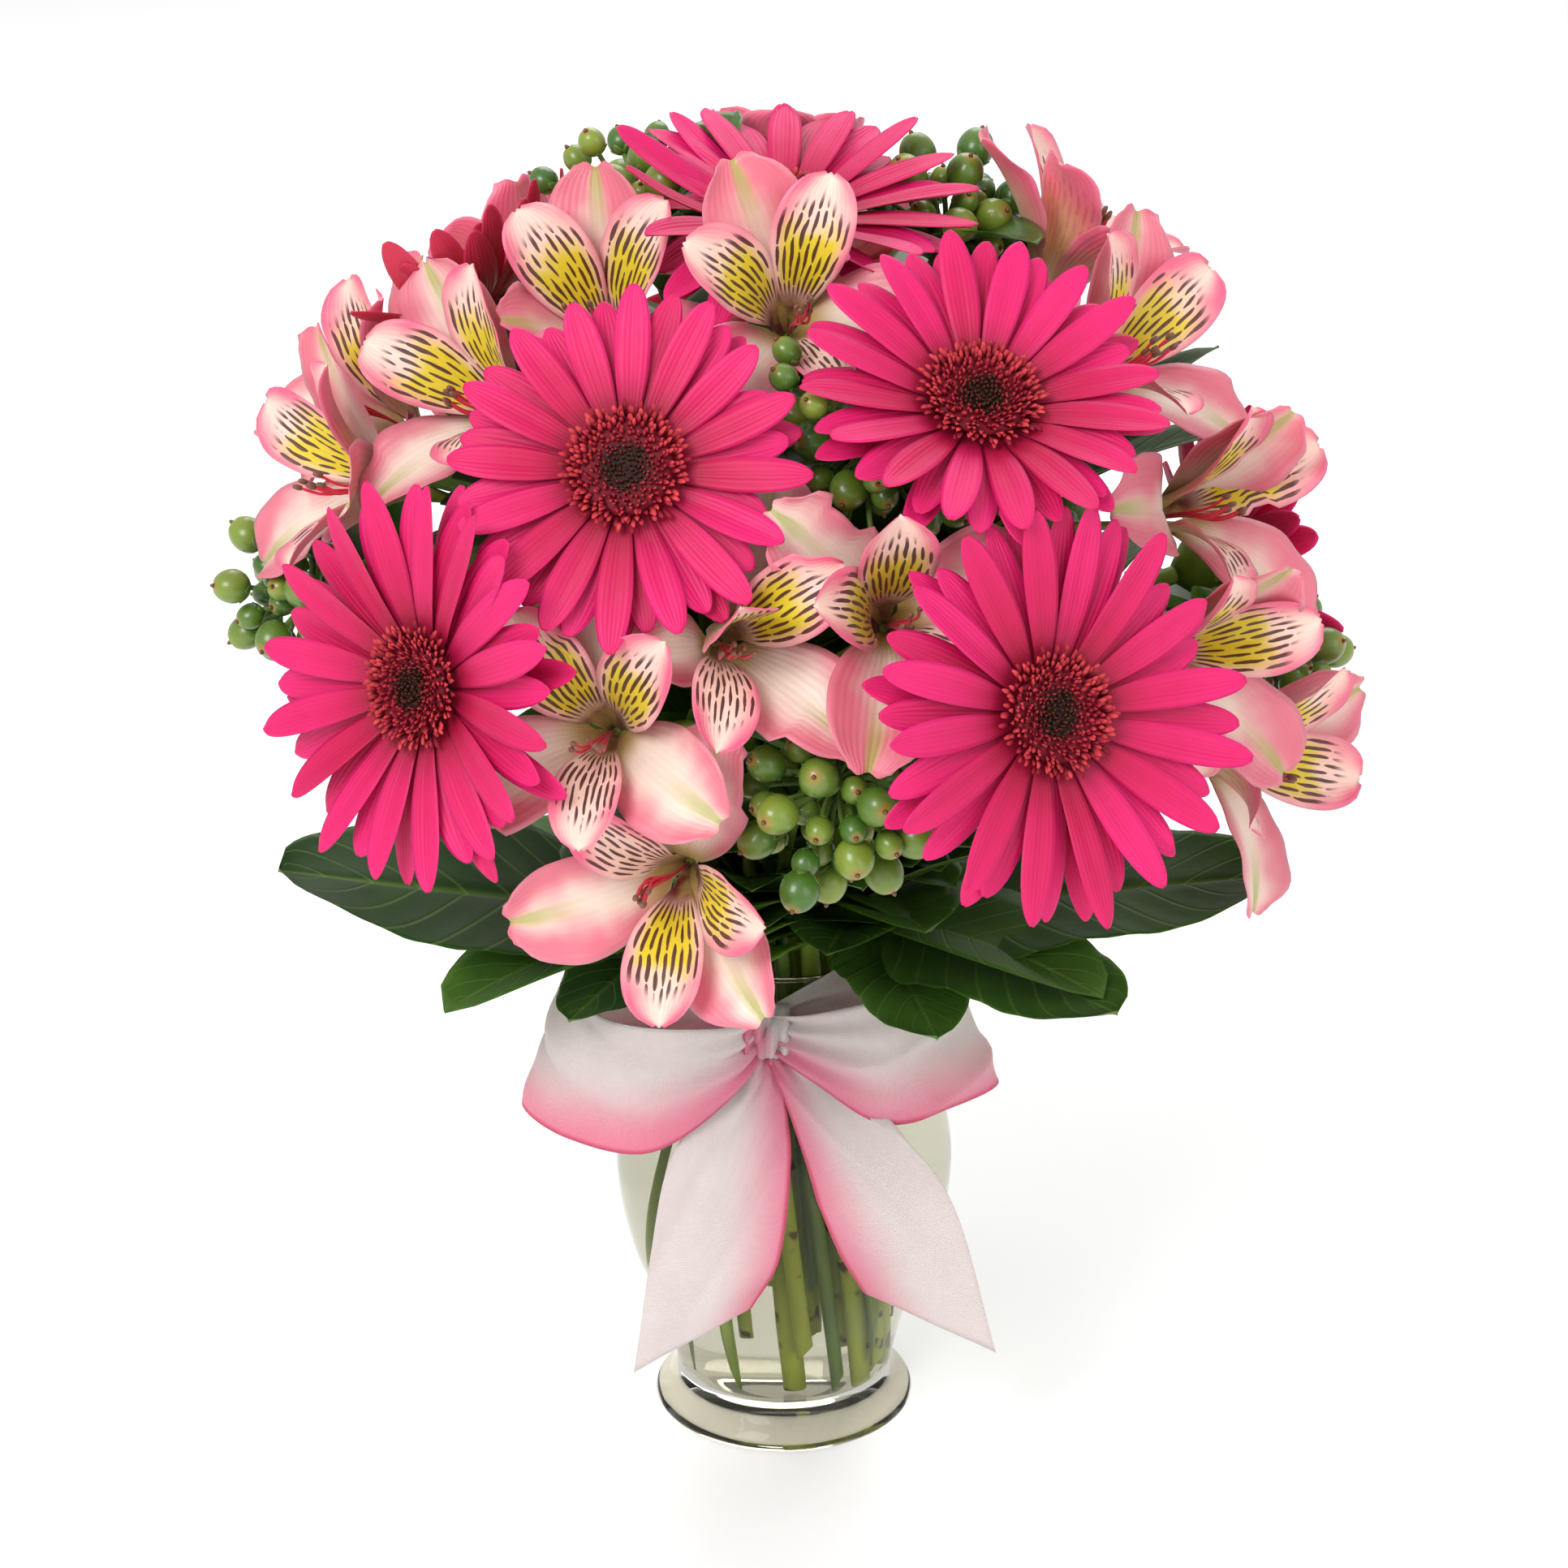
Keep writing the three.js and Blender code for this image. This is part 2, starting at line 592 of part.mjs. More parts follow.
// Where the berries sit round the hub: [unit vector, distance].
function berryPlaces({ face, spread, count }, seed) {
  const frame = facing(vector(0, 0, 0), face);
  const places = [];
  for (let i = 0; i < count; i++) {
    const off = radians(84) * Math.sqrt((i + 0.5) / count);
    const turn = radians(137.5) * i;
    const way = vector(Math.sin(off) * Math.cos(turn), Math.sin(off) * Math.sin(turn), Math.cos(off));
    const distance = spread * (0.86 + 0.2 * wobble(seed, i));
    places.push([way.applyMatrix4(frame), distance - BERRY.length / 2]);
  }
  return places;
}

function makeHypericumStem(plant) {
  stem(plant.name, COLOUR.berry, plant, BERRY.stem, inDome(plant.hub), plant.face, 30);
}

function makeBerries(plant) {
  const hub = inDome(plant.hub);
  const knob = solid(new THREE.IcosahedronGeometry(5).translate(...hub.toArray()));
  place(plant.name, COLOUR.berry, knob);
  for (const [way, distance] of berryPlaces(plant, HYPERICUMS.indexOf(plant) + 51)) {
    const upright = new THREE.Quaternion().setFromUnitVectors(vector(0, 0, 1), way);
    const root = hub.clone().addScaledVector(way, 3.6);
    const frame = new THREE.Matrix4().compose(root, upright, vector(1, 1, 1));
    const make = (lift) => solid(berry(lift), frame);
    const lifts = [1, 0.85, 1.15, 0.7, 0.55].map((share) => share * distance);
    fit(plant.name, COLOUR.berry, lifts, make);
  }
}

// -------------------------------------------------------- collar of broad leaves

// Each sprig is a woody stem with leaves that spread over the rim. A leaf has the bearing of its middle
// rib, its angles at the root and the tip, its length and width, and a tilt about its rib.
const SPRIGS = [
  { name: "leaves_left", hub: [-72, 163], slot: ["outer", -72, 0.15] },
  { name: "leaves_right", hub: [72, 163], slot: ["outer", 72, 0] },
  { name: "leaves_back", hub: [148, 164], slot: ["outer", 144, 0.1] },
];
const LEAVES = [
  { sprig: "leaves_left", bearing: -77, start: 14, end: 14, length: 126, width: 74, tilt: -12 },
  { sprig: "leaves_left", bearing: -38, start: -4, end: -24, length: 60, width: 38, tilt: 0 },
  { sprig: "leaves_left", bearing: -122, start: 2, end: 8, length: 100, width: 58, tilt: 0 },
  { sprig: "leaves_right", bearing: 80, start: 15, end: 9, length: 120, width: 66, tilt: 12 },
  { sprig: "leaves_right", bearing: 48, start: 4, end: -6, length: 92, width: 58, tilt: 4 },
  { sprig: "leaves_right", bearing: 18, start: -5, end: -22, length: 62, width: 40, tilt: 0 },
  { sprig: "leaves_back", bearing: 114, start: 12, end: 8, length: 98, width: 58, tilt: 0 },
  { sprig: "leaves_back", bearing: 155, start: 4, end: 4, length: 98, width: 58, tilt: 0 },
  { sprig: "leaves_back", bearing: -164, start: -4, end: 2, length: 96, width: 56, tilt: 0 },
];
const LEAF_GRID = { along: [0, 0.14, 0.34, 0.58, 0.82], over: [0], under: [0] };

function sprigHub({ hub: [bearing, z] }) {
  return towards(bearing, 0).multiplyScalar(25).setZ(z);
}

function makeSprigStem(sprig) {
  const hub = sprigHub(sprig);
  stem(sprig.name, COLOUR.leaf, sprig, LEAF_STEM, hub, [sprig.hub[0], 50], 8);
  place(sprig.name, COLOUR.leaf, solid(new THREE.IcosahedronGeometry(3.4).translate(...hub.toArray())));
}

function makeLeaf(leaf) {
  const hub = sprigHub(SPRIGS.find((s) => s.name === leaf.sprig));
  const matrix = new THREE.Matrix4().makeRotationZ(radians(leaf.bearing + 180)).setPosition(hub);
  matrix.multiply(new THREE.Matrix4().makeRotationY(radians(leaf.tilt)));
  matrix.multiply(new THREE.Matrix4().makeTranslation(0, LEAF.from, 0));
  const make = (f) => solid(blade({ ...f, ...LEAF_GRID }), matrix);
  fit(leaf.sprig, COLOUR.leaf, bent({ ...LEAF, ...leaf }), make);
}

// -------------------------------------------------------- ribbon

// A strip of ribbon through stations of [x, y, z, then half of its width as a vector]. Its two faces are
// split along the same diagonals, or they would cross where it twists.
function strip(stations, thick) {
  const points = [];
  const faces = [];
  const middle = (s) => vector(...s.slice(0, 3));
  stations.forEach((s, i) => {
    const before = middle(stations[i - 1] ?? s);
    const after = middle(stations[i + 1] ?? s);
    const half = vector(...s.slice(3));
    const face = new THREE.Vector3().crossVectors(after.sub(before), half).setLength(thick / 2);
    for (const [a, b] of [[1, 1], [-1, 1], [-1, -1], [1, -1]]) {
      points.push(middle(s).addScaledVector(half, a).addScaledVector(face, b).toArray());
    }
    for (let k = 0; k < 4 && i > 0; k++) {
      const [here, next] = [4 * i + k, 4 * i + ((k + 1) % 4)];
      if (k === 2) faces.push([here - 4, next - 4, here], [next - 4, next, here]);
      else faces.push([here - 4, next - 4, next], [here - 4, next, here]);
    }
  });
  const n = points.length;
  faces.push([0, 3, 2], [0, 2, 1], [n - 4, n - 3, n - 2], [n - 4, n - 2, n - 1]);
  return solid(meshed(points, faces));
}

const KNOT = [-5, -35, 139];
const LEFT_LOOP = [
  [-6, -37, 139, 0, 1, 6],
  [-15, -46, 134, 0, 2, 11],
  [-38, -53, 129, 0, 2, 19],
  [-58, -46, 130, 4, 3, 18.4],
  [-70, -34, 135, 6, 5, 17.3],
  [-64, -24, 139, 5, 3, 18.1],
  [-44, -23, 141, 2, 1, 18.9],
  [-22, -29, 142, 0, 0, 13],
  [-7, -33, 140, 0, 0, 6],
];
const RIGHT_LOOP = [
  [-4, -37, 139, 0, 1, 6],
  [8, -45, 138.5, 0, 2, 10],
  [28, -50, 137, 0, 2, 19],
  [44, -42, 138, -4, 3, 18.4],
  [55, -30, 139, -7, 4, 17.2],
  [48, -21, 141, -5, 2, 18.3],
  [32, -22.5, 142, -2, 0, 18.9],
  [12, -30, 142, 0, 0, 12],
  [-3, -33, 140, 0, 0, 6],
];
const LEFT_TAIL = [
  [-5, -36, 136, 5, 0, 0],
  [-10, -41, 124, 10, 1, 0],
  [-15.5, -51, 106, 17.5, 3, 0],
  [-20, -57, 76, 18.8, 2, 0],
  [-26.5, -61, 52, 17.2, 0, 10.6],
];
const RIGHT_TAIL = [
  [-3, -36, 136, 5, 0, 0],
  [8, -41, 125, 9, 0, 2],
  [20, -51, 110, 14, -3, 6],
  [32, -55, 86, 17.5, -2, 6],
  [42.5, -56, 55, 19.4, 0, -10],
];

function makeRibbon() {
  const [low, high] = [VASE.neckZ - 3.5, VASE.neckZ + 4];
  const inner = VASE.neck + 1.1;
  const outer = inner + RIBBON_THICK;
  const ring = [[inner, low], [outer, low], [outer, high], [inner, high], [inner, low]];
  const knot = new THREE.SphereGeometry(1, 8, 5).scale(7.5, 8, 8.5).translate(...KNOT);
  for (const piece of [solid(turned(ring, VASE.sides)), solid(knot)]) place("ribbon", COLOUR.ribbon, piece);
  for (const path of [LEFT_LOOP, RIGHT_LOOP, LEFT_TAIL, RIGHT_TAIL]) {
    place("ribbon", COLOUR.ribbon, strip(path, RIBBON_THICK));
  }
}

// -------------------------------------------------------- the whole arrangement

makeVase();
makeRibbon();
GERBERAS.forEach(makeGerberaStem);
SPRAYS.forEach(makeSprayStem);
HYPERICUMS.forEach(makeHypericumStem);
SPRIGS.forEach(makeSprigStem);
BLOOMS.forEach(makeBloomFoot);
GERBERAS.forEach(makeGerberaEye);
BLOOMS.forEach(makeStalk);
LEAVES.forEach(makeLeaf);
// The four gerberas in front come before the smaller flowers and the berries, which overlap the other four.
GERBERAS.slice(0, 4).forEach(makeGerberaPetals);
BLOOMS.forEach(makeTepals);
HYPERICUMS.forEach(makeBerries);
GERBERAS.slice(4).forEach(makeGerberaPetals);

const water = holes.reduce((body, hole) => body.subtract(hole), makeWater());
nodes.set("water", { colour: COLOUR.water, bodies: [water] });

const arrangement = new THREE.Group();
for (const [name, { colour, bodies }] of nodes) {
  const fused = wasm.Manifold.union(bodies).simplify(0.02);
  const body = fused.decompose().reduce((a, b) => (a.volume() > b.volume() ? a : b));
  const { vertProperties, triVerts } = body.getMesh();
  const geometry = new THREE.BufferGeometry();
  geometry.setAttribute("position", new THREE.BufferAttribute(vertProperties, 3));
  geometry.setIndex(new THREE.BufferAttribute(triVerts, 1));
  geometry.computeVertexNormals();
  const clear = name === "vase" || name === "water";
  const material = new THREE.MeshStandardMaterial({ color: colour, roughness: clear ? 0.05 : 0.6 });
  const mesh = new THREE.Mesh(geometry, material);
  mesh.name = name;
  arrangement.add(mesh);
}

export default arrangement;
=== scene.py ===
# A dome of gerberas, alstroemerias and green berries over a collar of broad leaves, in a bellied glass vase
# of water with a ribbon bow at its neck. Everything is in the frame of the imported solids: +Z up, the front
# towards -Y, the vase's foot on z = 0. Shapes are worked out in millimetres and made in metres.
import math

import bpy
import numpy as np
from mathutils import Matrix, Vector
from mathutils.bvhtree import BVHTree
from mathutils.kdtree import KDTree


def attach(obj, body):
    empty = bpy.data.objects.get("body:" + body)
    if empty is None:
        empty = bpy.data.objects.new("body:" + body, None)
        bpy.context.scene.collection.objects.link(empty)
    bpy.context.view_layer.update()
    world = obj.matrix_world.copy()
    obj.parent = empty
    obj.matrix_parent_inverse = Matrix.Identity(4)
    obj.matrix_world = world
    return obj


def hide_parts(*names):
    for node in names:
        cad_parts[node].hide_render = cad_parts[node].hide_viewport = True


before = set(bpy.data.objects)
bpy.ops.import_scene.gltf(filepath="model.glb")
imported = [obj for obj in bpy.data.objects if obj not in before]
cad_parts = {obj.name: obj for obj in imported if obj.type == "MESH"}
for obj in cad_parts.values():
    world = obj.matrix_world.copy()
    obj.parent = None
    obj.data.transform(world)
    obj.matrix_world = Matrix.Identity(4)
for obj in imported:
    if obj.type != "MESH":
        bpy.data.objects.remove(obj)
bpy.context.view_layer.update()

# ---------------------------------------------------------------- studio
# Three broad soft lamps stand round the vase, under an even white sky. The camera is in front and looks a
# little down on the flowers. Places here are in metres and power is in watts.

LENS = 109.75
CAMERA_AT = (0, -1.276, 0.746)
CAMERA_TILT = 66.9  # degrees up from straight down
LAMPS_AIM = Vector((0, 0, 0.22))
LAMPS = {
    "key": {"at": (-0.9, -1.4, 1.5), "width": 0.9, "power": 29},
    "fill": {"at": (1.3, -1.2, 0.9), "width": 1.3, "power": 9},
    "rim": {"at": (0.2, 1.3, 1.5), "width": 1.2, "power": 14},
}
SKY_STRENGTH = 0.74

view = bpy.data.cameras.new("camera")
view.lens = LENS
camera = bpy.data.objects.new("camera", view)
camera.location = CAMERA_AT
camera.rotation_euler = (math.radians(CAMERA_TILT), 0, 0)
bpy.context.collection.objects.link(camera)
bpy.context.scene.camera = camera
bpy.context.scene.view_settings.view_transform = "Standard"

for name, lamp in LAMPS.items():
    light = bpy.data.lights.new(name, "AREA")
    light.size = lamp["width"]
    light.energy = lamp["power"]
    holder = bpy.data.objects.new(name, light)
    holder.location = lamp["at"]
    aim = LAMPS_AIM - Vector(lamp["at"])
    holder.rotation_euler = aim.to_track_quat("-Z", "Y").to_euler()
    bpy.context.collection.objects.link(holder)

sky = bpy.data.worlds.new("studio")
sky.use_nodes = True
background = sky.node_tree.nodes["Background"]
background.inputs["Color"].default_value = (1, 1, 1, 1)
background.inputs["Strength"].default_value = SKY_STRENGTH
bpy.context.scene.world = sky


# ---------------------------------------------------------------- glass vase
# One piece of clear pressed glass: a thick foot, a bellied body, a narrow neck and a flared rim with a soft
# edge. It is turned here from the same outline as its solid, with the corners run into curves.

class Shade:
    """A shader socket in an expression. Arithmetic on it adds Math nodes, and node() adds any other node."""

    tree = None

    def __init__(self, socket):
        self.socket = socket

    @classmethod
    def node(cls, kind, settings=None, inputs=None, output=0):
        made = cls.tree.nodes.new("ShaderNode" + kind)
        for name, value in (settings or {}).items():
            setattr(made, name, value)
        for name, value in (inputs or {}).items():
            if isinstance(value, Shade):
                cls.tree.links.new(made.inputs[name], value.socket)
            else:
                made.inputs[name].default_value = value
        return cls(made.outputs[output]) if made.outputs else None

    @classmethod
    def value(cls, name):
        return cls.node("Attribute", {"attribute_name": name}, output="Fac")

    @classmethod
    def mix(cls, share, first, second):
        return cls.node("Mix", {"data_type": "RGBA"}, {0: share, 6: first, 7: second}, 2)

    @classmethod
    def noise(cls, scale, detail=2.0, stretch=(1, 1, 1)):
        place = cls.node("TexCoord", output="Object")
        place = cls.node("VectorMath", {"operation": "MULTIPLY"}, {0: place, 1: stretch})
        return cls.node("TexNoise", {}, {"Vector": place, "Scale": scale, "Detail": detail})

    @classmethod
    def bump(cls, height, distance, strength=1.0):
        return cls.node("Bump", {}, {"Height": height, "Distance": distance, "Strength": strength})

    def maths(self, operation, *others):
        terms = dict(enumerate((self, *others)))
        return Shade.node("Math", {"operation": operation}, terms)

    def step(self, low, high):
        """Runs smoothly from 0 at low to 1 at high."""
        ends = {"Value": self, "From Min": low, "From Max": high}
        return Shade.node("MapRange", {"interpolation_type": "SMOOTHSTEP"}, ends)

    def __add__(self, other):
        return self.maths("ADD", other)

    def __sub__(self, other):
        return self.maths("SUBTRACT", other)

    def __mul__(self, other):
        return self.maths("MULTIPLY", other)

    def __rsub__(self, other):
        return (self * -1.0) + other

    def __abs__(self):
        return self.maths("ABSOLUTE")

    __radd__ = __add__
    __rmul__ = __mul__


def material(name, make):
    """A Principled material. make() gives its sockets as numbers, colours and expressions."""
    made = bpy.data.materials.new(name)
    made.use_nodes = True
    Shade.tree = made.node_tree
    Shade.tree.nodes.clear()
    shader = Shade.node("BsdfPrincipled", {}, make())
    Shade.node("OutputMaterial", {}, {"Surface": shader})
    return made


def tint(red, green, blue):
    """A colour as it looks on a screen, 0 to 255, as a shader's colour."""
    parts = [c / 255 for c in (red, green, blue)]
    return (*[c / 12.92 if c <= 0.04045 else ((c + 0.055) / 1.055) ** 2.4 for c in parts], 1)


def piece(name, shapes, finish, slot, *nodes):
    """Joins shapes, each of points in millimetres, faces and values for the shader, into one piece."""
    points = np.concatenate([s[0] for s in shapes])
    starts = np.cumsum([0] + [len(s[0]) for s in shapes])
    faces = [[int(i + start) for i in face] for s, start in zip(shapes, starts) for face in s[1]]
    mesh = bpy.data.meshes.new(name)
    mesh.from_pydata((points * 0.001).tolist(), [], faces)
    mesh.polygons.foreach_set("use_smooth", [True] * len(faces))
    for label in sorted({label for s in shapes for label in s[2]}):
        values = np.concatenate([np.broadcast_to(s[2].get(label, 0.0), len(s[0])) for s in shapes])
        mesh.attributes.new(label, "FLOAT", "POINT").data.foreach_set("value", values.astype(np.float32))
    mesh.materials.append(finish)
    made = bpy.data.objects.new(name, mesh)
    bpy.context.collection.objects.link(made)
    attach(made, "root")
    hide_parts(*nodes)
    return made


def curve(stations, count):
    """Points evenly along a smooth curve through stations, which may have any number of values each."""
    s = np.array(stations, float)
    s = np.vstack([2 * s[0] - s[1], s, 2 * s[-1] - s[-2]])
    made = []
    for t in np.linspace(0, len(s) - 3 - 1e-9, count):
        i, f = int(t), t - int(t)
        a, b, c, d = s[i : i + 4]
        square, cube = 2 * a - 5 * b + 4 * c - d, 3 * b - a - 3 * c + d
        made.append(0.5 * (2 * b + (c - a) * f + square * f**2 + cube * f**3))
    return np.array(made)


def turned(profile, sides):
    """A solid of revolution from [radius, z] points that start and end on the axis."""
    rings = np.array(profile)[1:-1]
    angle = 2 * np.pi * np.arange(sides) / sides
    ring = np.stack([np.cos(angle), np.sin(angle), np.zeros(sides)], 1)
    points = [[0, 0, profile[0][1]], *(r * ring + (0, 0, z) for r, z in rings), [0, 0, profile[-1][1]]]
    points = np.vstack(points)
    last = len(points) - 1
    faces = []
    for k in range(sides):
        n = (k + 1) % sides
        faces.append([0, 1 + n, 1 + k])
        faces.append([last, last - sides + k, last - sides + n])
        for i in range(len(rings) - 1):
            a, b = 1 + i * sides, 1 + (i + 1) * sides
            faces.append([a + k, a + n, b + n, b + k])
    return points, faces, {}


VASE_WALL = 2.4
VASE_FLOOR = 10
WATER_TOP = 116
NECK = 26
NECK_Z = 139
RIM_Z = 154
VASE_SIDES = 128
FOOT_TINT_TOP = 11  # the foot's tint starts at this height,
FOOT_TINT_FADE = 3  # and is full this far below
# The outline, as stations of radius and height.
UNDERSIDE = [[0, 0.6], [33, 0.6], [35.6, 0]]
FOOT = [[36.8, 0.3], [38.6, 1.2], [38.9, 3], [37.4, 5.4], [34, 9], [32.2, 12.5]]
BODY = [[32.2, 12.5], [37, 32], [46, 55], [50.2, 80], [47, 103], [41, WATER_TOP], [26.6, 134], [26, NECK_Z]]
MOUTH = [[26.6, 144], [29, 149.5], [31.2, 152.6]]
RIM = [[31.4, 153.6], [30.6, RIM_Z], [29.6, 153.7]]
outer_wall = curve(BODY + MOUTH, 70)
inner_wall = outer_wall[outer_wall[:, 1] > VASE_FLOOR + 4] - (VASE_WALL, 0)
floor = curve([inner_wall[0], [25, VASE_FLOOR + 1.2], [14, VASE_FLOOR + 0.2], [0, VASE_FLOOR]], 14)[1:-1]
outside = [*UNDERSIDE, *curve(FOOT, 20)[:-1], *outer_wall]
inside = [*inner_wall[::-1], *floor, [0, VASE_FLOOR]]


def glass():
    ripple = Shade.noise(14, 1, (1, 1, 0.35))
    return {
        "Base Color": Shade.mix(Shade.value("foot"), tint(229, 228, 220), tint(208, 203, 188)),
        "Roughness": 0.015,
        "IOR": 1.2,
        "Transmission Weight": 1.0,
        "Normal": Shade.bump(ripple, 0.0012, 0.22),
    }


pressed = turned([*outside, *RIM, *inside], VASE_SIDES)
pressed[2]["foot"] = np.clip((FOOT_TINT_TOP - pressed[0][:, 2]) / FOOT_TINT_FADE, 0, 1)
vase = piece("glass_vase", [pressed], material("clear_glass", glass), "glass", "vase")
vase.visible_shadow = False  # light passes through to the stems

# ---------------------------------------------------------------- water
# Clear tap water, poured in up to the vase's shoulder, where it creeps up the glass in a thin rim. It runs a
# hair into the glass, so that no film of air shows between them.

LAP = 0.15
CREEP = [[LAP, 0.9], [-1.2, 0.25], [-3.5, 0]]  # out and up from where the level meets the glass

level = np.interp(WATER_TOP, inner_wall[:, 1], inner_wall[:, 0])
water_profile = [
    [0, VASE_FLOOR - LAP],
    *[[r, z - LAP] for r, z in floor[::-1]],
    *[[r + LAP, z] for r, z in inner_wall if z < WATER_TOP - 1],
    *[[level + out, WATER_TOP + up] for out, up in CREEP],
    [0, WATER_TOP],
]


def water():
    return {
        "Base Color": tint(243, 242, 234),
        "Roughness": 0.0,
        "IOR": 1.24,
        "Transmission Weight": 1.0,
    }


pool = piece("clear_water", [turned(water_profile, VASE_SIDES)], material("water", water), "water", "water")
pool.visible_shadow = False

# ---------------------------------------------------------------- ribbon bow
# One length of sheer satin ribbon, white and dyed pink along one edge. It goes round the neck once, and is
# tied in front in a bow of two loops with a gathered knot and two slanted tails.

RIBBON_WIDTH = 38
RIBBON_THICK = 0.5
RIBBON_COLUMNS = 29
HEM = 1.5  # the hems are this much thicker
PLEAT = 2.0  # depth of the pleats where the ribbon is gathered, and of the creases and waves elsewhere
CREASE = 1.8
SWELL = 0.5
GATHERED = 0.035  # how far the pleats run out, as a squared share of the length
BAND = {"off": 1.6, "up": 0.6, "half": 4.4}  # the round of the neck
KNOT = {"at": (-5, -35, 139), "turn": 1.35 * np.pi / 2, "deep": 7.2, "tall": 8.2, "half": 6.6}
# Stations of x, y, z and then half of the width as a vector, which points away from the dyed edge.
LEFT_LOOP = [
    [-6, -37, 139, 0, 1, 6],
    [-15, -46, 134, 0, 2, 11],
    [-38, -53, 129, 0, 2, 19],
    [-58, -46, 130, 4, 3, 18.4],
    [-70, -34, 135, 6, 5, 17.3],
    [-64, -24, 139, 5, 3, 18.1],
    [-44, -23, 141, 2, 1, 18.9],
    [-22, -29, 142, 0, 0, 13],
    [-7, -33, 140, 0, 0, 6],
]
RIGHT_LOOP = [
    [-4, -37, 139, 0, 1, 6],
    [8, -45, 138.5, 0, 2, 10],
    [28, -50, 137, 0, 2, 19],
    [44, -42, 138, -4, 3, 18.4],
    [55, -30, 139, -7, 4, 17.2],
    [48, -21, 141, -5, 2, 18.3],
    [32, -22.5, 142, -2, 0, 18.9],
    [12, -30, 142, 0, 0, 12],
    [-3, -33, 140, 0, 0, 6],
]
LEFT_TAIL = [
    [-5, -36, 136, -5, 0, 0],
    [-10, -41, 124, -10, -1, 0],
    [-15.5, -51, 106, -17.5, -3, 0],
    [-20, -57, 76, -18.8, -2, 0],
    [-26.5, -61, 52, -17.2, 0, -10.6],
]
RIGHT_TAIL = [
    [-3, -36, 136, 5, 0, 0],
    [8, -41, 125, 9, 0, 2],
    [20, -51, 110, 14, -3, 6],
    [32, -55, 86, 17.5, -2, 6],
    [42.5, -56, 55, 19.4, 0, -10],
]


def sheet_faces(rows, columns):
    """The faces of a thin closed sheet. Its corners are a grid on one side, and then one on the other."""
    size = rows * columns
    faces = []
    for i in range(rows - 1):
        for a in range(i * columns, i * columns + columns - 1):
            b = a + columns
            faces += [[a, a + 1, b + 1, b], [size + a, size + b, size + b + 1, size + a + 1]]
        for a, turn in ((i * columns, -1), (i * columns + columns - 1, 1)):
            faces.append([a, size + a, size + a + columns, a + columns][::turn])
    for start, turn in ((0, 1), (size - columns, -1)):
        for a in range(start, start + columns - 1):
            faces.append([a, size + a, size + a + 1, a + 1][::turn])
    return faces


def distances(path):
    """How far along a path each of its points lies."""
    return np.concatenate([[0], np.cumsum(np.linalg.norm(np.diff(path, axis=0), axis=1))])


def strip(stations, rows, gathers, seed):
    """A closed strip of ribbon with pleats that run out from where it is gathered, at gathers from 0 to 1."""
    path = curve(stations, rows)
    middle, half = path[:, :3], path[:, 3:]
    face = np.cross(np.gradient(middle, axis=0), half)
    face /= np.linalg.norm(face, axis=1)[:, None]
    along, wide = np.linspace(0, 1, rows), np.linspace(-1, 1, RIBBON_COLUMNS)
    pinch = np.max([np.exp(-((along - g) ** 2) / GATHERED) for g in gathers], axis=0)
    swell = SWELL * np.sin(5.1 * wide + seed) * np.sin(np.pi * along * 2.6 + seed)[:, None]
    folds = 1 - np.abs(np.sin(2.9 * wide - 7.0 * along[:, None] + seed))
    creases = CREASE * folds**2 * np.sin(np.pi * along)[:, None]
    pleats = (PLEAT * pinch * (1 - 0.4 * pinch))[:, None] * np.sin(3.6 * np.pi * wide + 1.7 * seed)
    hem = RIBBON_THICK / 2 * np.where(np.abs(wide) > 0.95, HEM, 1.0)
    sides = []
    for side in (-1, 1):
        off = swell + creases + pleats + side * hem
        points = middle[:, None] + half[:, None] * wide[:, None] + face[:, None] * off[..., None]
        sides.append(points.reshape(-1, 3))
    values = {
        "across": np.tile(wide, 2 * rows),
        "along": np.tile(np.repeat(distances(middle) / RIBBON_WIDTH, RIBBON_COLUMNS), 2),
        "tight": np.tile(np.repeat(pinch, RIBBON_COLUMNS), 2),
    }
    return np.vstack(sides), sheet_faces(rows, RIBBON_COLUMNS), values


def round_neck():
    radius, z = NECK + BAND["off"], NECK_Z + BAND["up"]
    angles = np.linspace(0, 2 * np.pi, 65)
    return [[radius * math.sin(a), -radius * math.cos(a), z, 0, 0, BAND["half"]] for a in angles]


def knot():
    """A short wrap of the ribbon over the crossing, gathered into upright folds."""
    x, y, z = KNOT["at"]
    stations = []
    for a in np.linspace(-KNOT["turn"], KNOT["turn"], 12):
        out, up = -KNOT["deep"] * math.cos(a), KNOT["tall"] * math.sin(a)
        stations.append([x, y + out, z + up, KNOT["half"], 0, 0])
    return stations


def satin():
    across, along, tight = Shade.value("across"), Shade.value("along"), Shade.value("tight")
    blotch, crumple = Shade.noise(16, 2), Shade.noise(34, 3, (1, 1, 0.5))
    dye = (across * -1.0 + blotch * 0.6 + tight * 0.65 + crumple * 0.3 - 0.42).step(-0.1, 1.15)
    edge = (across * -1.0).step(0.9, 0.99)
    white = Shade.mix(Shade.noise(40, 3), tint(224, 212, 209), tint(206, 190, 188))
    blush = Shade.mix(dye, white, tint(222, 118, 144))
    warp = (across * 260.0).maths("SINE") * 0.5
    weft = (along * 500.0).maths("SINE") * 0.5
    return {
        "Base Color": Shade.mix(edge, blush, tint(204, 62, 102)),
        "Roughness": 0.42 + 0.1 * blotch,
        "Sheen Weight": 0.15,
        "Sheen Roughness": 0.4,
        "Subsurface Weight": 0.25,
        "Subsurface Radius": (0.01, 0.006, 0.005),
        "Subsurface Scale": 0.3,
        "Normal": Shade.bump((warp + weft) * 0.02 + crumple, 0.006, 0.8),
    }


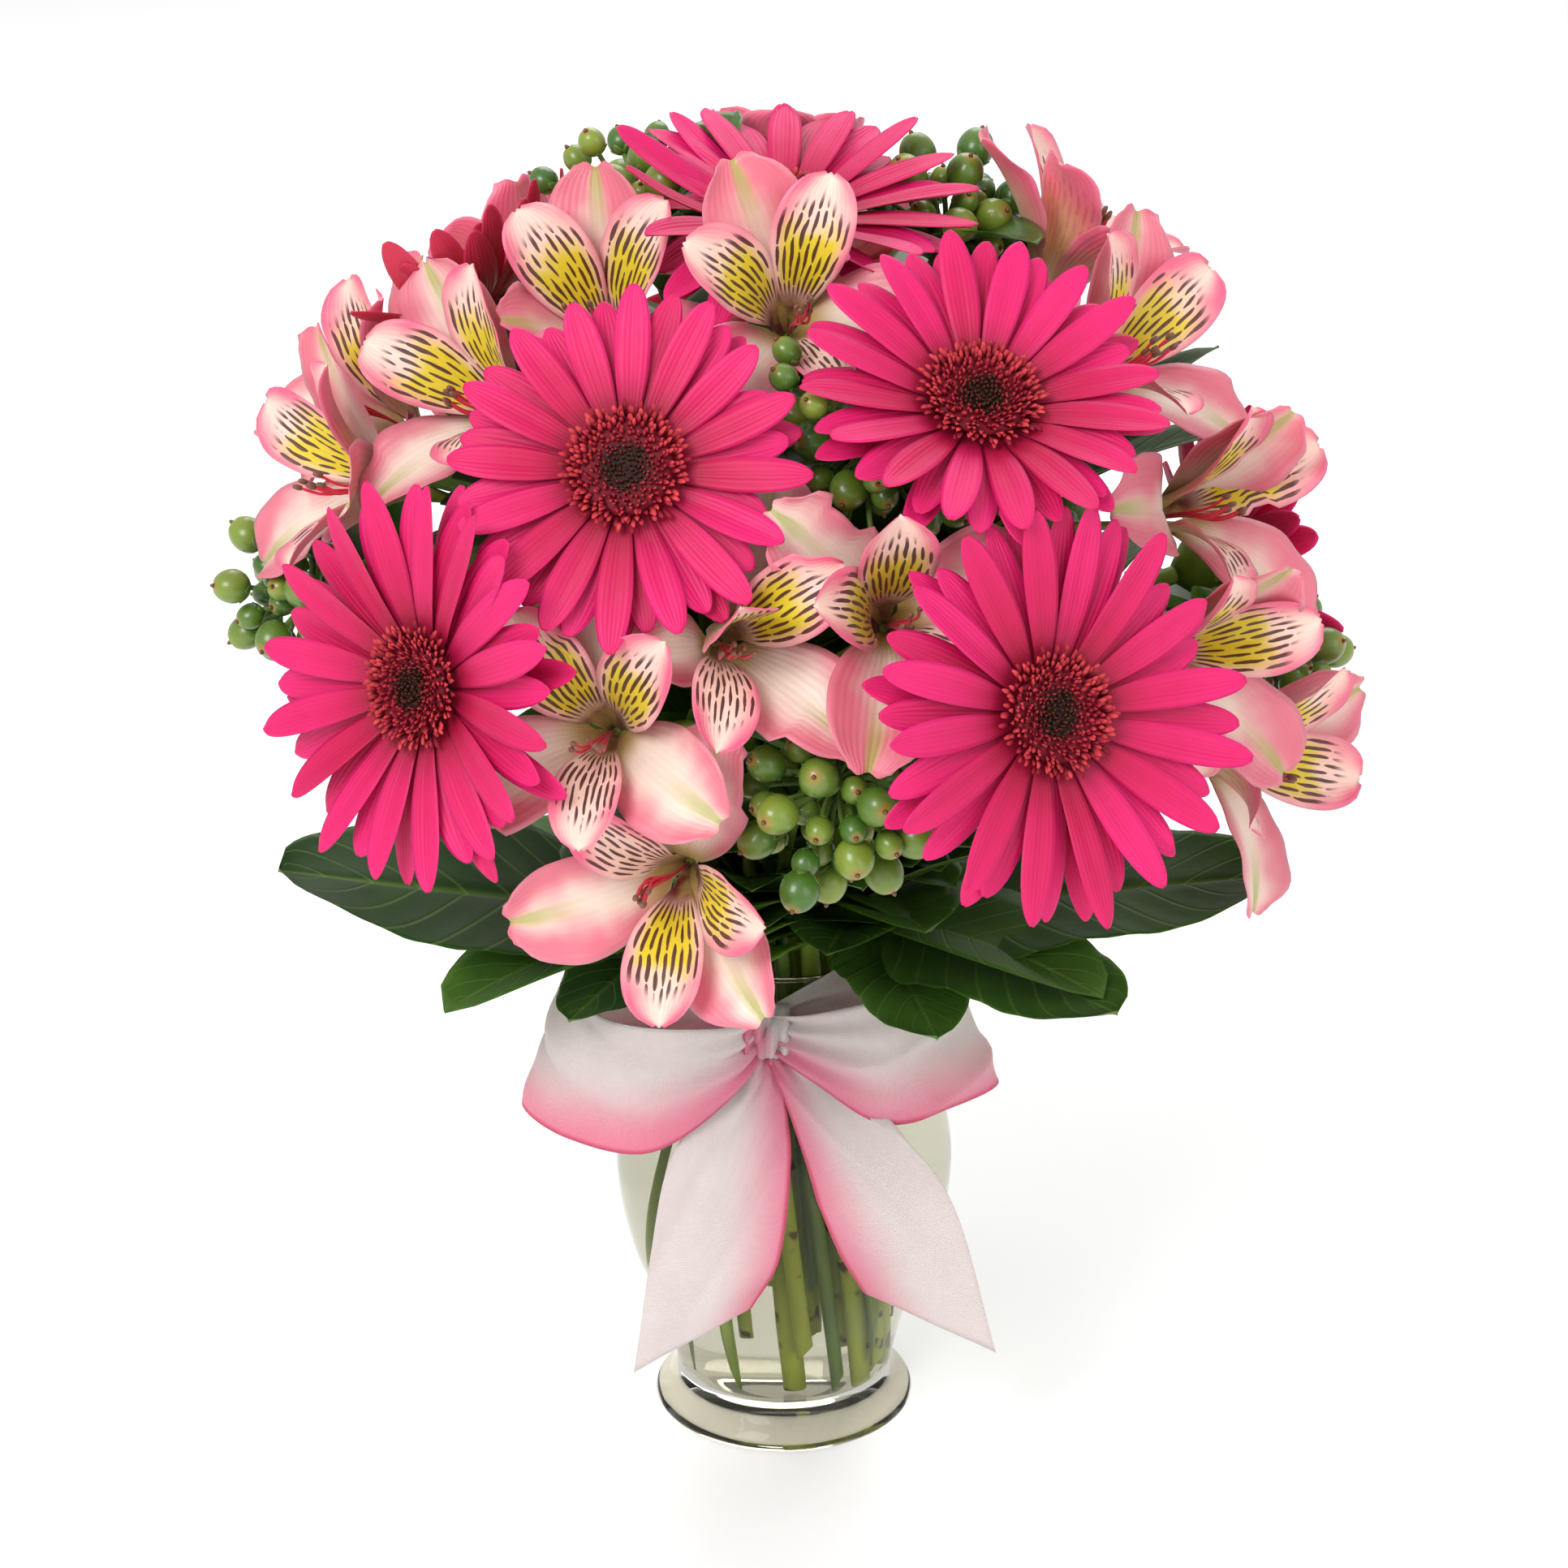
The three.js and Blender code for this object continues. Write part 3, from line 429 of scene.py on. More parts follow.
bow = [
    strip(LEFT_LOOP, 90, (0, 1), 0.4),
    strip(RIGHT_LOOP, 84, (0, 1), 1.9),
    strip(LEFT_TAIL, 60, (0,), 2.6),
    strip(RIGHT_TAIL, 60, (0,), 0.9),
    strip(round_neck(), 97, (0.5,), 3.1),
    strip(knot(), 30, (0.5,), 1.2),
]
ribbon = piece("ribbon_bow", bow, material("satin_ribbon", satin), "ribbon", "ribbon")

# ---------------------------------------------------------------- stems
# Green stalks that stand in the water, squeeze through the neck in three rings and fan out to their heads.
# Each is a smooth tube on the line that its solid was bent along: of the same ways round its neighbours,
# the one that the solid's own corners lie on.

HEART = np.array([0, 0, 240])  # the middle of the dome of flowers
RING = {"outer": 19, "middle": 11.5, "inner": 4.2}
FAN_Z = 152  # where the fan begins
FAN_OUT = 0.35  # the share of its way to the head that a stem still runs on straight
TWIST = 34  # degrees that the bundle turns between its feet and the neck
LEAN = 4  # the feet stand this far to the right,
FEET = 1.4  # and this far above the floor of the vase


def towards(bearing, rise):
    b, r = math.radians(bearing), math.radians(rise)
    return np.array([math.sin(b) * math.cos(r), -math.cos(b) * math.cos(r), math.sin(r)])


def in_dome(bearing, rise, reach):
    return HEART + towards(bearing, rise) * reach


def wobble(seed, n):
    """A repeatable number from -1 to 1."""
    x = math.sin(seed * 12.9898 + n * 78.233) * 43758.5453
    return (x - math.floor(x)) * 2 - 1


def corners(node):
    """The corners of a solid, in millimetres, ready to be searched."""
    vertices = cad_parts[node].data.vertices
    tree = KDTree(len(vertices))
    for vertex in vertices:
        tree.insert(vertex.co * 1000, vertex.index)
    tree.balance()
    return tree


def used(forms, marks, tree):
    """The form that a solid was made in: the first whose marks lie on its corners, or else the nearest."""
    best, least = None, 1e9
    for form in forms:
        off = sum(min(tree.find(mark)[2], 6) for mark in marks(form))
        if off < least:
            best, least = form, off
        if off < 0.15:
            break
    return best, least


SWAYS = [(0, 0)]
for far in (7, 14, 22, 30):
    for a in (math.radians(turn) for turn in range(0, 360, 45)):
        SWAYS.append((far * math.cos(a), far * math.sin(a)))


def bow_of(start, leaving, to, arriving, sway, count):
    """Points along a stem's bent part, whose middle sways aside."""
    span = to - start
    side = np.cross((0, 0, 1), span)
    side /= np.linalg.norm(side)
    front = np.cross(side, span)
    front /= np.linalg.norm(front)
    aside = side * sway[0] + front * sway[1]
    first, second = start + leaving + aside / 2, to - arriving + aside
    t = np.linspace(0, 1, count)[:, None]
    return (1 - t) ** 3 * start + 3 * t * (1 - t) ** 2 * first + 3 * t**2 * (1 - t) * second + t**3 * to


def tube(path, radius, sides=10, tone=0.0, slant=0.0):
    """A stalk through points, with a radius at each, and its foot cut off at a slant."""
    path = np.array(path)
    radius = np.broadcast_to(radius, len(path))
    way = np.gradient(path, axis=0)
    way /= np.linalg.norm(way, axis=1)[:, None]
    side = np.array([1.0, 0, 0]) if abs(way[0][0]) < 0.9 else np.array([0, 1.0, 0])
    angle = 2 * np.pi * np.arange(sides) / sides
    rings = []
    for point, w, r in zip(path, way, radius):
        side = side - w * side.dot(w)
        side /= np.linalg.norm(side)
        other = np.cross(w, side)
        rings.append(point + r * (np.cos(angle)[:, None] * side + np.sin(angle)[:, None] * other))
    rings[0] += way[0] * slant * radius[0] * (1 + np.cos(angle))[:, None]
    faces = [list(range(sides))[::-1], [(len(path) - 1) * sides + k for k in range(sides)]]
    for i in range(len(path) - 1):
        for k in range(sides):
            a, b = i * sides + k, i * sides + (k + 1) % sides
            faces.append([a, b, b + sides, a + sides])
    length = distances(path)
    along = np.repeat(length / max(length[-1], 1), sides)
    return np.vstack(rings), faces, {"along": along, "tone": tone}


def stem_line(node, slot, radius, head, face, reach):
    """A stem's middle line, from its foot in the water to its head."""
    ring, bearing, cut = slot
    neck = towards(bearing, 0) * RING[ring] + (0, 0, FAN_Z)
    foot_end = towards(bearing + TWIST, 0) * RING[ring] + (LEAN, 0, VASE_FLOOR + FEET)
    low_end = foot_end + (neck - foot_end) * cut
    way = (neck - foot_end) / np.linalg.norm(neck - foot_end)
    leaving = way * FAN_OUT * np.linalg.norm(head - neck)
    arriving = towards(*face) * reach

    def rings(sway):
        line = bow_of(neck, leaving, head, arriving, sway, 7)
        return [p for a in tube([low_end, *line], radius, 5)[0].reshape(8, 5, 3)[2:6] for p in a]

    sway = used(SWAYS, rings, corners(node))[0]
    bent = bow_of(neck, leaving, head, arriving, sway, 30)
    straight = low_end + (neck - low_end) * np.linspace(0, 1, 9)[:-1, None]
    return np.vstack([straight, bent])


def foliage(light, dark, vein):
    """A waxy leaf with a paler middle rib and side veins that run out towards the tip, or, where leaf is 0, a
    streaky stalk with brown marks at its foot."""

    def make():
        along, across, tone = Shade.value("along"), Shade.value("across"), Shade.value("tone")
        under, leaf = Shade.value("under"), Shade.value("leaf")
        cloud, speck = Shade.noise(50, 3), Shade.noise(500, 2)
        streak = Shade.noise(220, 2, (1, 1, 0.12))
        rib = (1.0 - abs(across) * 14.0).step(0.0, 1.0)
        beat = ((along - abs(across) * 0.24) * 9.0).maths("FRACT")
        veins = rib + (1.0 - (0.5 - abs(beat - 0.5)).step(0.0, 0.09)) * 0.7
        skin = Shade.mix((cloud * 0.9 + tone * 0.35).step(0.15, 1.0), tint(*dark), tint(*light))
        skin = Shade.mix(veins * 0.5, skin, tint(*vein))
        skin = Shade.mix(under * 0.5, skin, tint(*vein))
        stalk = (cloud * 0.8 + tone * 0.5 + streak * 0.4).step(0.2, 1.2)
        stalk = Shade.mix(stalk, tint(98, 128, 34), tint(168, 184, 80))
        # Paler towards the foot, where the stems stand in the water: painted light standing in for the light
        # that reaches them through the glass.
        stalk = Shade.mix((1.0 - along).step(0.45, 0.8), stalk, tint(176, 188, 74))
        rust = Shade.noise(150, 1).step(0.6, 0.7) * (1.0 - along).step(0.5, 0.9)
        stalk = Shade.mix(rust, stalk, tint(86, 54, 26))
        return {
            "Base Color": Shade.mix(leaf, stalk, skin),
            "Roughness": 0.46 + 0.16 * cloud,
            "Specular IOR Level": 0.3,
            "Subsurface Weight": 0.06,
            "Subsurface Radius": (0.003, 0.006, 0.001),
            "Subsurface Scale": 0.3,
            "Normal": Shade.bump(speck * 0.25 + streak * 0.2 - veins * 0.8 * leaf, 0.0006, 0.5),
        }

    return make

# ---------------------------------------------------------------- gerberas
# Eight hot pink daisies. A hairy stem ends in a green cup of scales that holds a flat head: long petals in
# two full layers, brownish red below, round a dark eye of hundreds of small florets with curled red tips.

EYE = 14.5
EYE_SIDES = 40
CUSHION = [[0, 0.6], [7, 0.6], [12.6, 2.2], [12.8, 3.4], [11.4, 4.2], [7, 3.5], [3, 2.9], [0, 2.7]]
FLORETS = 420
FLORETS_OUT = 14.3
GOLDEN_TURN = 137.508
OPEN_FROM = 0.45  # the share of the eye inside which the florets are still closed
PETAL_WIDTH = 11
PETAL_THICK = 0.55
PETAL_ROWS = 16
PETAL_COLUMNS = 9
SLIMMER = 0.88  # real petals are this much slimmer than the solid's, and there are more of them
GERBERA_STEM = 2.7
CUP = 13
CUP_SIDES = 30
CUP_SHAPE = [[0, -15.5], [2.9, -15.5], [5.4, -13], [7.9, -10.5], [9.9, -7.4], [10.4, -5.4], [0, -5.2]]
# The rows of scales on the cup: how many, how low and how far out their feet are, and their length.
SCALES = [(12, -14.2, 3.6, 6.5), (14, -12, 5.6, 7), (16, -9.6, 7.8, 6)]
SCALE_SLOPE = math.radians(52)
# Where each head is in the dome (bearing, rise and reach from its heart), the way it faces, its radius, the
# angles at which its petals leave the eye and end, and its stem's slot: the ring, the bearing and the share
# of its straight foot that is cut off.
GERBERAS = [
    {"at": (-21, 40, 148), "face": (-8, 33), "radius": 48, "bend": (12, 0), "slot": ("middle", -40, 0)},
    {"at": (31, 47, 146), "face": (14, 55), "radius": 50, "bend": (24, 12), "slot": ("middle", 40, 0.1)},
    {"at": (-41, 14, 150), "face": (-43, 13), "radius": 55, "bend": (17, 4), "slot": ("outer", -48, 0.3)},
    {"at": (28, 14, 152), "face": (29, 22), "radius": 56, "bend": (17, 4), "slot": ("outer", 24, 0)},
    {"at": (0, 84, 138), "face": (0, 78), "radius": 54, "bend": (18, 2), "slot": ("inner", 0, 0.15)},
    {"at": (-95, 50, 136), "face": (-125, 54), "radius": 48, "bend": (11, 56), "slot": ("middle", -120, 0.3)},
    {"at": (98, 11, 130), "face": (112, 10), "radius": 46, "bend": (15, 33), "slot": ("outer", 120, 0.1)},
    {"at": (178, 32, 142), "face": (178, 30), "radius": 52, "bend": (14, 0), "slot": ("outer", 168, 0.2)},
]
for number, flower in enumerate(GERBERAS, 1):
    flower["name"] = f"gerbera_{number}"
GERBERAS[6]["back"] = 0.3  # the backs of its petals are nearly as pink as their faces
LAYERS = [
    {"count": 16, "out": 12.5, "up": -0.3, "share": 1, "start_drop": 0, "end_drop": 0},
    {"count": 10, "out": 11.5, "up": -1.5, "share": 0.97, "start_drop": 13, "end_drop": 12},
]
LOW_LAYER = {"out": 12, "up": -0.9, "drop": 6, "share": 0.92}
BENDS = (0, 5, -5, 10, -10, 16, -16, 23, -23, 31, -31, 40, -40, 50, -50)
SHORTENINGS = (1, 0.88, 0.76, 0.64, 0.5, 0.35, 0.2, 0.04)


def facing(origin, face, roll=0):
    """A frame with +Z along a face and +Y up, turned clockwise by roll."""
    z = towards(*face)
    y = np.array([0, 0, 1]) - z * z[2]
    y /= np.linalg.norm(y)
    x = np.cross(y, z)
    a = math.radians(roll)
    turned_x, turned_y = x * math.cos(a) - y * math.sin(a), x * math.sin(a) + y * math.cos(a)
    return np.stack([turned_x, turned_y, z]), np.array(origin)


def placed(points, place):
    return np.asarray(points) @ place[0] + place[1]


def outline(t, root, widest, point, waist=1):
    """The share of its full width that a blade has at t, from its root at 0 to its tip at 1."""
    t = np.asarray(t, float)
    rising = root + (1 - root) * np.sin(np.pi / 2 * np.clip(t / widest, 0, 1)) ** waist
    falling = np.sqrt(np.clip(1 - np.clip((t - widest) / (1 - widest), 0, 1) ** point, 0, 1))
    return np.where(t < widest, rising, falling)


def arc(t, length, start, end):
    """How far out and up a blade's middle line is at t, and its angle there."""
    turn = math.radians(end - start) * np.asarray(t, float)
    chord = length * t * np.sinc(turn / 2 / np.pi)
    a = math.radians(start) + turn / 2
    return chord * np.cos(a), chord * np.sin(a), math.radians(start) + turn


def bent(form):
    """The forms that a blade may have been bent or shortened to, to pass its neighbours."""
    for share in SHORTENINGS:
        for bend in BENDS:
            yield {
                **form,
                "length": form["length"] * share,
                "width": form["width"] * (0.45 + 0.55 * share),
                "start": form["start"] + bend / 3,
                "end": form["end"] + bend,
            }


def spun(x, y, angle):
    """A place x to the right and y up, turned clockwise by an angle in degrees."""
    a = math.radians(angle)
    return x * math.cos(a) + y * math.sin(a), y * math.cos(a) - x * math.sin(a)


def star_marks(form, star, angle, place):
    """The corners of one petal of a solid star of petals: its tip and the four points beside it."""
    marks = []
    for t, u in [(1, 0)] + [(t, u) for t in star["rows"] for u in (1, -1)]:
        out, up, slope = arc(t, form["length"], form["start"], form["end"])
        half = float(outline(t, *form["outline"])) * form["width"] / 2
        off = form["cup"] * half * u * u
        x, y = spun(u * half, star["out"] + out - off * math.sin(slope), angle)
        marks.append((x, y, star["up"] + up + off * math.cos(slope)))
    return placed(marks, place)


def blade(line, half, lift, thick, along, slide=0.0):
    """A thin closed blade in its own frame, +Y out along it and +Z off its face. line holds how far out and
    up each row of it is and its slope there, half its half width, lift how far each of its points stands off
    the row, and slide how far each is moved on along it."""
    out, up, slope = (np.asarray(a)[:, None] for a in line)
    rows, columns = lift.shape
    wide = np.linspace(-1, 1, columns)
    points = []
    for side in (1, -1):
        off = lift + side * thick / 2 * np.sqrt(np.clip(1 - wide**2, 0.002, 1))
        x = half[:, None] * wide + 0 * off
        y = out - off * np.sin(slope) + slide * np.cos(slope)
        z = up + off * np.cos(slope) + slide * np.sin(slope)
        points.append(np.stack([x, y, z], -1).reshape(-1, 3))
    values = {
        "along": np.tile(np.repeat(along, columns), 2),
        "across": np.tile(wide, 2 * rows),
        "under": np.repeat([0.0, 1.0], rows * columns),
    }
    return np.vstack(points), sheet_faces(rows, columns), values


def turned_out(shape, angle, place):
    """A blade turned to an angle round its flower's axis, in its place."""
    x, y, z = shape[0].T
    return placed(np.stack([*spun(x, y, angle), z], 1), place), *shape[1:]


def ray_petal(form, layer, angle, place, seed):
    """A long petal with two grooves, from under the eye to its blunt tip, a little twisted and bent aside."""
    t = np.concatenate([[0], 1 - (1 - np.linspace(0, 1, PETAL_ROWS - 1)) ** 1.5])
    out, up, slope = arc(t, form["length"], form["start"], form["end"])
    out, up = layer["out"] + out, layer["up"] + up
    out[0], up[0], slope[0] = min(7.5, layer["out"] - 1), layer["up"] - 0.9, 0.1
    half = outline(t, 0.42, 0.58, 2.2) * form["width"] * SLIMMER / 2
    half[0], half[-1] = 1.7, 0.5 * half[-2]
    wide, t_row = np.linspace(-1, 1, PETAL_COLUMNS), t[:, None]
    grooves = -0.2 * np.sin(np.pi * t_row) * np.cos(2 * np.pi * wide) * (np.abs(wide) < 0.99)
    waves = np.sin(np.where(wide > 0, 5, 6) * t_row + 3 * wobble(seed, 1) + 2 * (wide > 0)) * 0.5 * t_row
    twist = math.tan(math.radians(15 * wobble(seed, 2))) * half[:, None] * wide * np.minimum(3 * t_row, 1)
    cup = 0.14 + 0.12 * wobble(seed, 5)
    lift = cup * half[:, None] * wide**2 + grooves + waves * np.abs(wide) + twist
    shape = blade((out, up, slope), half, lift, PETAL_THICK, t)
    shape[0][:, 0] += 2.2 * wobble(seed, 3) * shape[2]["along"] ** 2
    shape[2]["tone"] = wobble(seed, 4)
    return turned_out(shape, angle, place)


def solids(*left_out):
    """The solids but for those left out, as a tree that finds a ray's first hit or the nearest point."""
    points, faces = [], []
    for name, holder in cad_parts.items():
        if name not in left_out:
            faces += [[i + len(points) for i in face.vertices] for face in holder.data.polygons]
            points += [vertex.co * 1000 for vertex in holder.data.vertices]
    return BVHTree.FromPolygons(points, faces)


def free(path, tree):
    """The share of a path, from its start, that is clear of a tree's solids."""
    steps = np.diff(path, axis=0)
    lengths = np.linalg.norm(steps, axis=1)
    walked = 0
    for point, step, length in zip(path, steps, lengths):
        hit = tree.ray_cast(point, step, length)[3]
        if hit is not None:
            return (walked + hit) / lengths.sum()
        walked += length
    return 1.0


def petals_of(flower):
    """Both layers of a head as on its solid, and low petals under the gaps of the first layer, each cut to
    the room it finds there."""
    place = facing(in_dome(*flower["at"]), flower["face"])
    tree = corners(flower["name"] + "_petals")
    made, first_layer = [], []
    for number, layer in enumerate(LAYERS):
        seed = 2 * GERBERAS.index(flower) + number + 1
        star = {**layer, "rows": (0.56, 0.84)}
        for k in range(layer["count"]):
            form = {
                "width": PETAL_WIDTH,
                "cup": 0.16,
                "outline": (0.5, 0.56, 2.4),
                "length": (flower["radius"] - layer["out"]) * (layer["share"] + 0.05 * wobble(seed, k)),
                "start": flower["bend"][0] - layer["start_drop"] + 3 * wobble(seed, k + 40),
                "end": flower["bend"][1] - layer["end_drop"] + 7 * wobble(seed, k + 80),
                "angle": 360 * k / layer["count"] + 1.5 * wobble(seed, k + 120),
            }
            form = used(bent(form), lambda f: star_marks(f, star, f["angle"], place), tree)[0]
            made.append(ray_petal(form, layer, form["angle"], place, seed * 40 + k))
            if number == 0:
                first_layer.append(form)
    others = solids(*(f"{flower['name']}_{part}" for part in ("petals", "eye", "stem")))
    for k, form in enumerate(first_layer):
        following = first_layer[(k + 1) % len(first_layer)]
        low = {key: (form[key] + following[key]) / 2 for key in ("start", "end", "length", "width")}
        low["start"] -= LOW_LAYER["drop"]
        low["end"] -= LOW_LAYER["drop"] + 4 * wobble(k, 5)
        low["length"] *= LOW_LAYER["share"] + 0.07 * wobble(k, 6)
        angle = form["angle"] + 180 / len(first_layer) + 2 * wobble(k, 7)
        petal = ray_petal(low, LOW_LAYER, angle, place, k * 7 + 3)
        lines = petal[0][: PETAL_ROWS * PETAL_COLUMNS].reshape(PETAL_ROWS, PETAL_COLUMNS, 3)
        clear = min(free(lines[1:, column], others) for column in (0, PETAL_COLUMNS // 2, -1))
        if clear < 1:
            low["length"] = low["length"] * clear * 0.92
            petal = ray_petal(low, LOW_LAYER, angle, place, k * 7 + 3)
        if clear > 0.5:
            made.append(petal)
    for petal in made:
        petal[2]["under"] = petal[2]["under"] * flower.get("back", 1)
    return made


def petal_pink():
    along, across = Shade.value("along"), Shade.value("across")
    tone, under = Shade.value("tone"), Shade.value("under")
    vein = ((across * 24.0).maths("SINE") * 0.5 + 0.5) * Shade.noise(120, 2)
    blush = (along * 0.9 + tone * 0.3 + Shade.noise(45, 2) * 0.5 + abs(across) * 0.15).step(0.1, 1.5)
    face = Shade.mix(blush, tint(178, 4, 64), tint(220, 27, 108))
    face = Shade.mix(vein * 0.2, face, tint(164, 6, 62))
    # Dark crimson at the petals' roots, where they tuck under the eye and under each other: painted shade.
    face = Shade.mix((1.0 - along).step(0.6, 1.0) * 0.8, face, tint(130, 8, 36))
    back = Shade.mix(along.step(0.2, 1.0), tint(186, 72, 74), tint(186, 44, 72))
    return {
        "Base Color": Shade.mix(under, face, back),
        "Roughness": 0.5 + 0.12 * vein,
        "Specular IOR Level": 0.3,
        "Subsurface Weight": 0.14,
        "Subsurface Radius": (0.01, 0.002, 0.004),
        "Subsurface Scale": 0.25,
        "Normal": Shade.bump(vein, 0.0004, 0.4),
    }


pink = material("petal_pink", petal_pink)
for flower in GERBERAS:
    name = flower["name"]
    piece(name + "_rays", petals_of(flower), pink, "petal", name + "_petals")


def floret(out, turn, lean, height, width, place, reach, tone):
    """One small floret of the eye: a narrow strap that stands up and curls outwards."""
    t = np.linspace(0, 1, 6)
    slope, step = np.pi / 2 - lean * (0.3 + 1.4 * t), height / 5
    further_out = np.cumsum(np.cos(slope)) - np.cos(slope[0])
    further_up = np.cumsum(np.sin(slope)) - np.sin(slope[0])
    half = width / 2 * np.array([0.8, 0.9, 1, 1.05, 1, 0.5])
    lift = 0.35 * half[:, None] * np.linspace(-1, 1, 3) ** 2
    line = out + step * further_out, 1.0 + step * further_up, slope
    shape = blade(line, half, lift, width * 0.6, t)
    shape[2].update(reach=reach, tone=tone)
    return turned_out(shape, turn, place)


def eye_of(flower):
    """A dished cushion and on it a spiral of florets, closed in the middle and curled open at the ring."""
    place = facing(in_dome(*flower["at"]), flower["face"])
    cushion = turned(CUSHION, EYE_SIDES)
    reach = np.hypot(cushion[0][:, 0], cushion[0][:, 1]) / EYE
    shapes = [(placed(cushion[0], place), cushion[1], {"along": 0.1, "reach": reach * 0.85})]
    for n in range(FLORETS):
        share = math.sqrt((n + 0.5) / FLORETS)
        opened = min(max((share - OPEN_FROM) / (1 - OPEN_FROM), 0), 1)
        height = (2.0 + 2.2 * opened) * (1 + 0.2 * wobble(n, 5))
        lean = math.radians(2 + 50 * opened**1.5 + 16 * wobble(n, 7))
        lifted = np.interp(share, [0, OPEN_FROM, 0.8, 1], [0.9, 1.9, 2.5, 1.0])
        turn, width = GOLDEN_TURN * n + 5 * wobble(n, 3), 0.9 + 0.35 * opened
        shape = floret(FLORETS_OUT * share, turn, lean, height, width, place, share, wobble(n, 9))
        shapes.append((shape[0] + lifted * place[0][2], *shape[1:]))
    return shapes


def eye_red():
    along, reach, tone = Shade.value("along"), Shade.value("reach"), Shade.value("tone")
    ring = (reach + tone * 0.08).step(0.3, 0.52)
    deep = Shade.mix(ring, tint(38, 15, 8), tint(112, 8, 30))
    coral = Shade.mix((tone * 0.5 + 0.5) * reach, tint(136, 14, 36), tint(208, 66, 72))
    tip = Shade.mix(ring, tint(74, 34, 20), coral)
    return {
        "Base Color": Shade.mix((along + tone * 0.1).step(0.45, 0.9), deep, tip),
        "Roughness": 0.6,
        "Specular IOR Level": 0.2,
        "Normal": Shade.bump(Shade.noise(900, 2), 0.0003, 0.5),
    }


red = material("eye_red", eye_red)
for flower in GERBERAS:
    name = flower["name"]
    piece(name + "_florets", eye_of(flower), red, "eye", name + "_eye")


def cup_of(flower):
    """The stem and its cup of three rows of overlapping scales."""
    name, face = flower["name"], flower["face"]
    head = in_dome(*flower["at"])
    top = head - towards(*face) * CUP
    line = stem_line(name + "_stem", flower["slot"], GERBERA_STEM, top, face, 38)
    line = np.vstack([line, top + towards(*face) * 2.5])
    radius = np.full(len(line), GERBERA_STEM)
    radius[:9] *= 1.08
    shapes = [tube(line, radius, 12, wobble(GERBERAS.index(flower), 30))]
    place = facing(head, face)
    cup = turned(CUP_SHAPE, CUP_SIDES)
    shapes.append((placed(cup[0], place), cup[1], {"along": 0.9, "tone": -0.5}))
    for row, (count, low, out, length) in enumerate(SCALES):
        for k in range(count):
            t = np.linspace(0, 1, 6)
            line = (out + t * length * 0.62, low + t * length * 0.8, np.full(6, SCALE_SLOPE))
            half = 1.5 * outline(t, 0.8, 0.4, 1.5) + 0.05
            scale = blade(line, half, -0.12 * half[:, None] * np.linspace(-1, 1, 5) ** 2, 0.5, t)
            scale[2]["tone"] = wobble(k, row)
            shapes.append(turned_out(scale, 360 * (k + row / 2) / count, place))
    return shapes


stalk_green = material("stalk_green", foliage((128, 150, 66), (84, 112, 44), (150, 168, 90)))
for flower in GERBERAS:
    name = flower["name"]
    piece(name + "_stalk", cup_of(flower), stalk_green, "stem", name + "_stem")

# ---------------------------------------------------------------- alstroemerias
# Six sprays, each a smooth stem with strap-shaped leaves that ends in an umbel of stalks. Its flowers have
# six tepals on claws: three broad ones with a green tip, and three narrow ones with dark dashes, of which the
# two upper ones are yellow as well.

ALSTROEMERIA_STEM = 2.3
STALK = 1.3
FLARE = (1.4, 1.7, 2.1, 2.4)  # the radii of a stalk's last points, where it widens into its flower
WHORL = {"count": 14, "length": 66, "width": 26, "bend": 30}
STEM_LEAVES = {"count": 18, "length": 70, "width": 24, "bend": 34}
# Where leaves are wanted between the flowers: the places of their tips.
GAPS = {
    "left": [
        (-92, -28, 306),
        (-96, -22, 296),
        (-104, 0, 330),
        (-108, -20, 280),
        (-88, 0, 342),
        (-118, -4, 300),
    ],
    "right": [(106, -20, 318), (92, -24, 308), (122, 0, 335), (130, -10, 315), (112, 10, 352)],
    "low_right": [(128, -30, 220), (112, -40, 222)],
}
# Bits of leaf in the water: the point of the stem that each hangs from, its tip and its width.
TORN = [
    (9, (-34, -6, 38), 14),
    (6, (-24, -10, 14), 22),
    (6, (-12, -20, 13), 12),
    (6, (24, -13, 17), 18),
    (7, (28, -9, 34), 14),
]
SPRAYS = {
    "left": {"umbel": (-76, 36, 72), "slot": ("middle", -80, 0.25)},
    "top": {"umbel": (40, 66, 74), "slot": ("inner", 120, 0.1)},
    "centre": {"umbel": (-10, 10, 72), "slot": ("outer", -24, 0.1)},
    "right": {"umbel": (70, 38, 76), "slot": ("middle", 80, 0.2)},
    "low_right": {"umbel": (64, 6, 74), "slot": ("outer", 48, 0)},
    "back": {"umbel": (180, 36, 72), "slot": ("outer", -168, 0.15)},
}
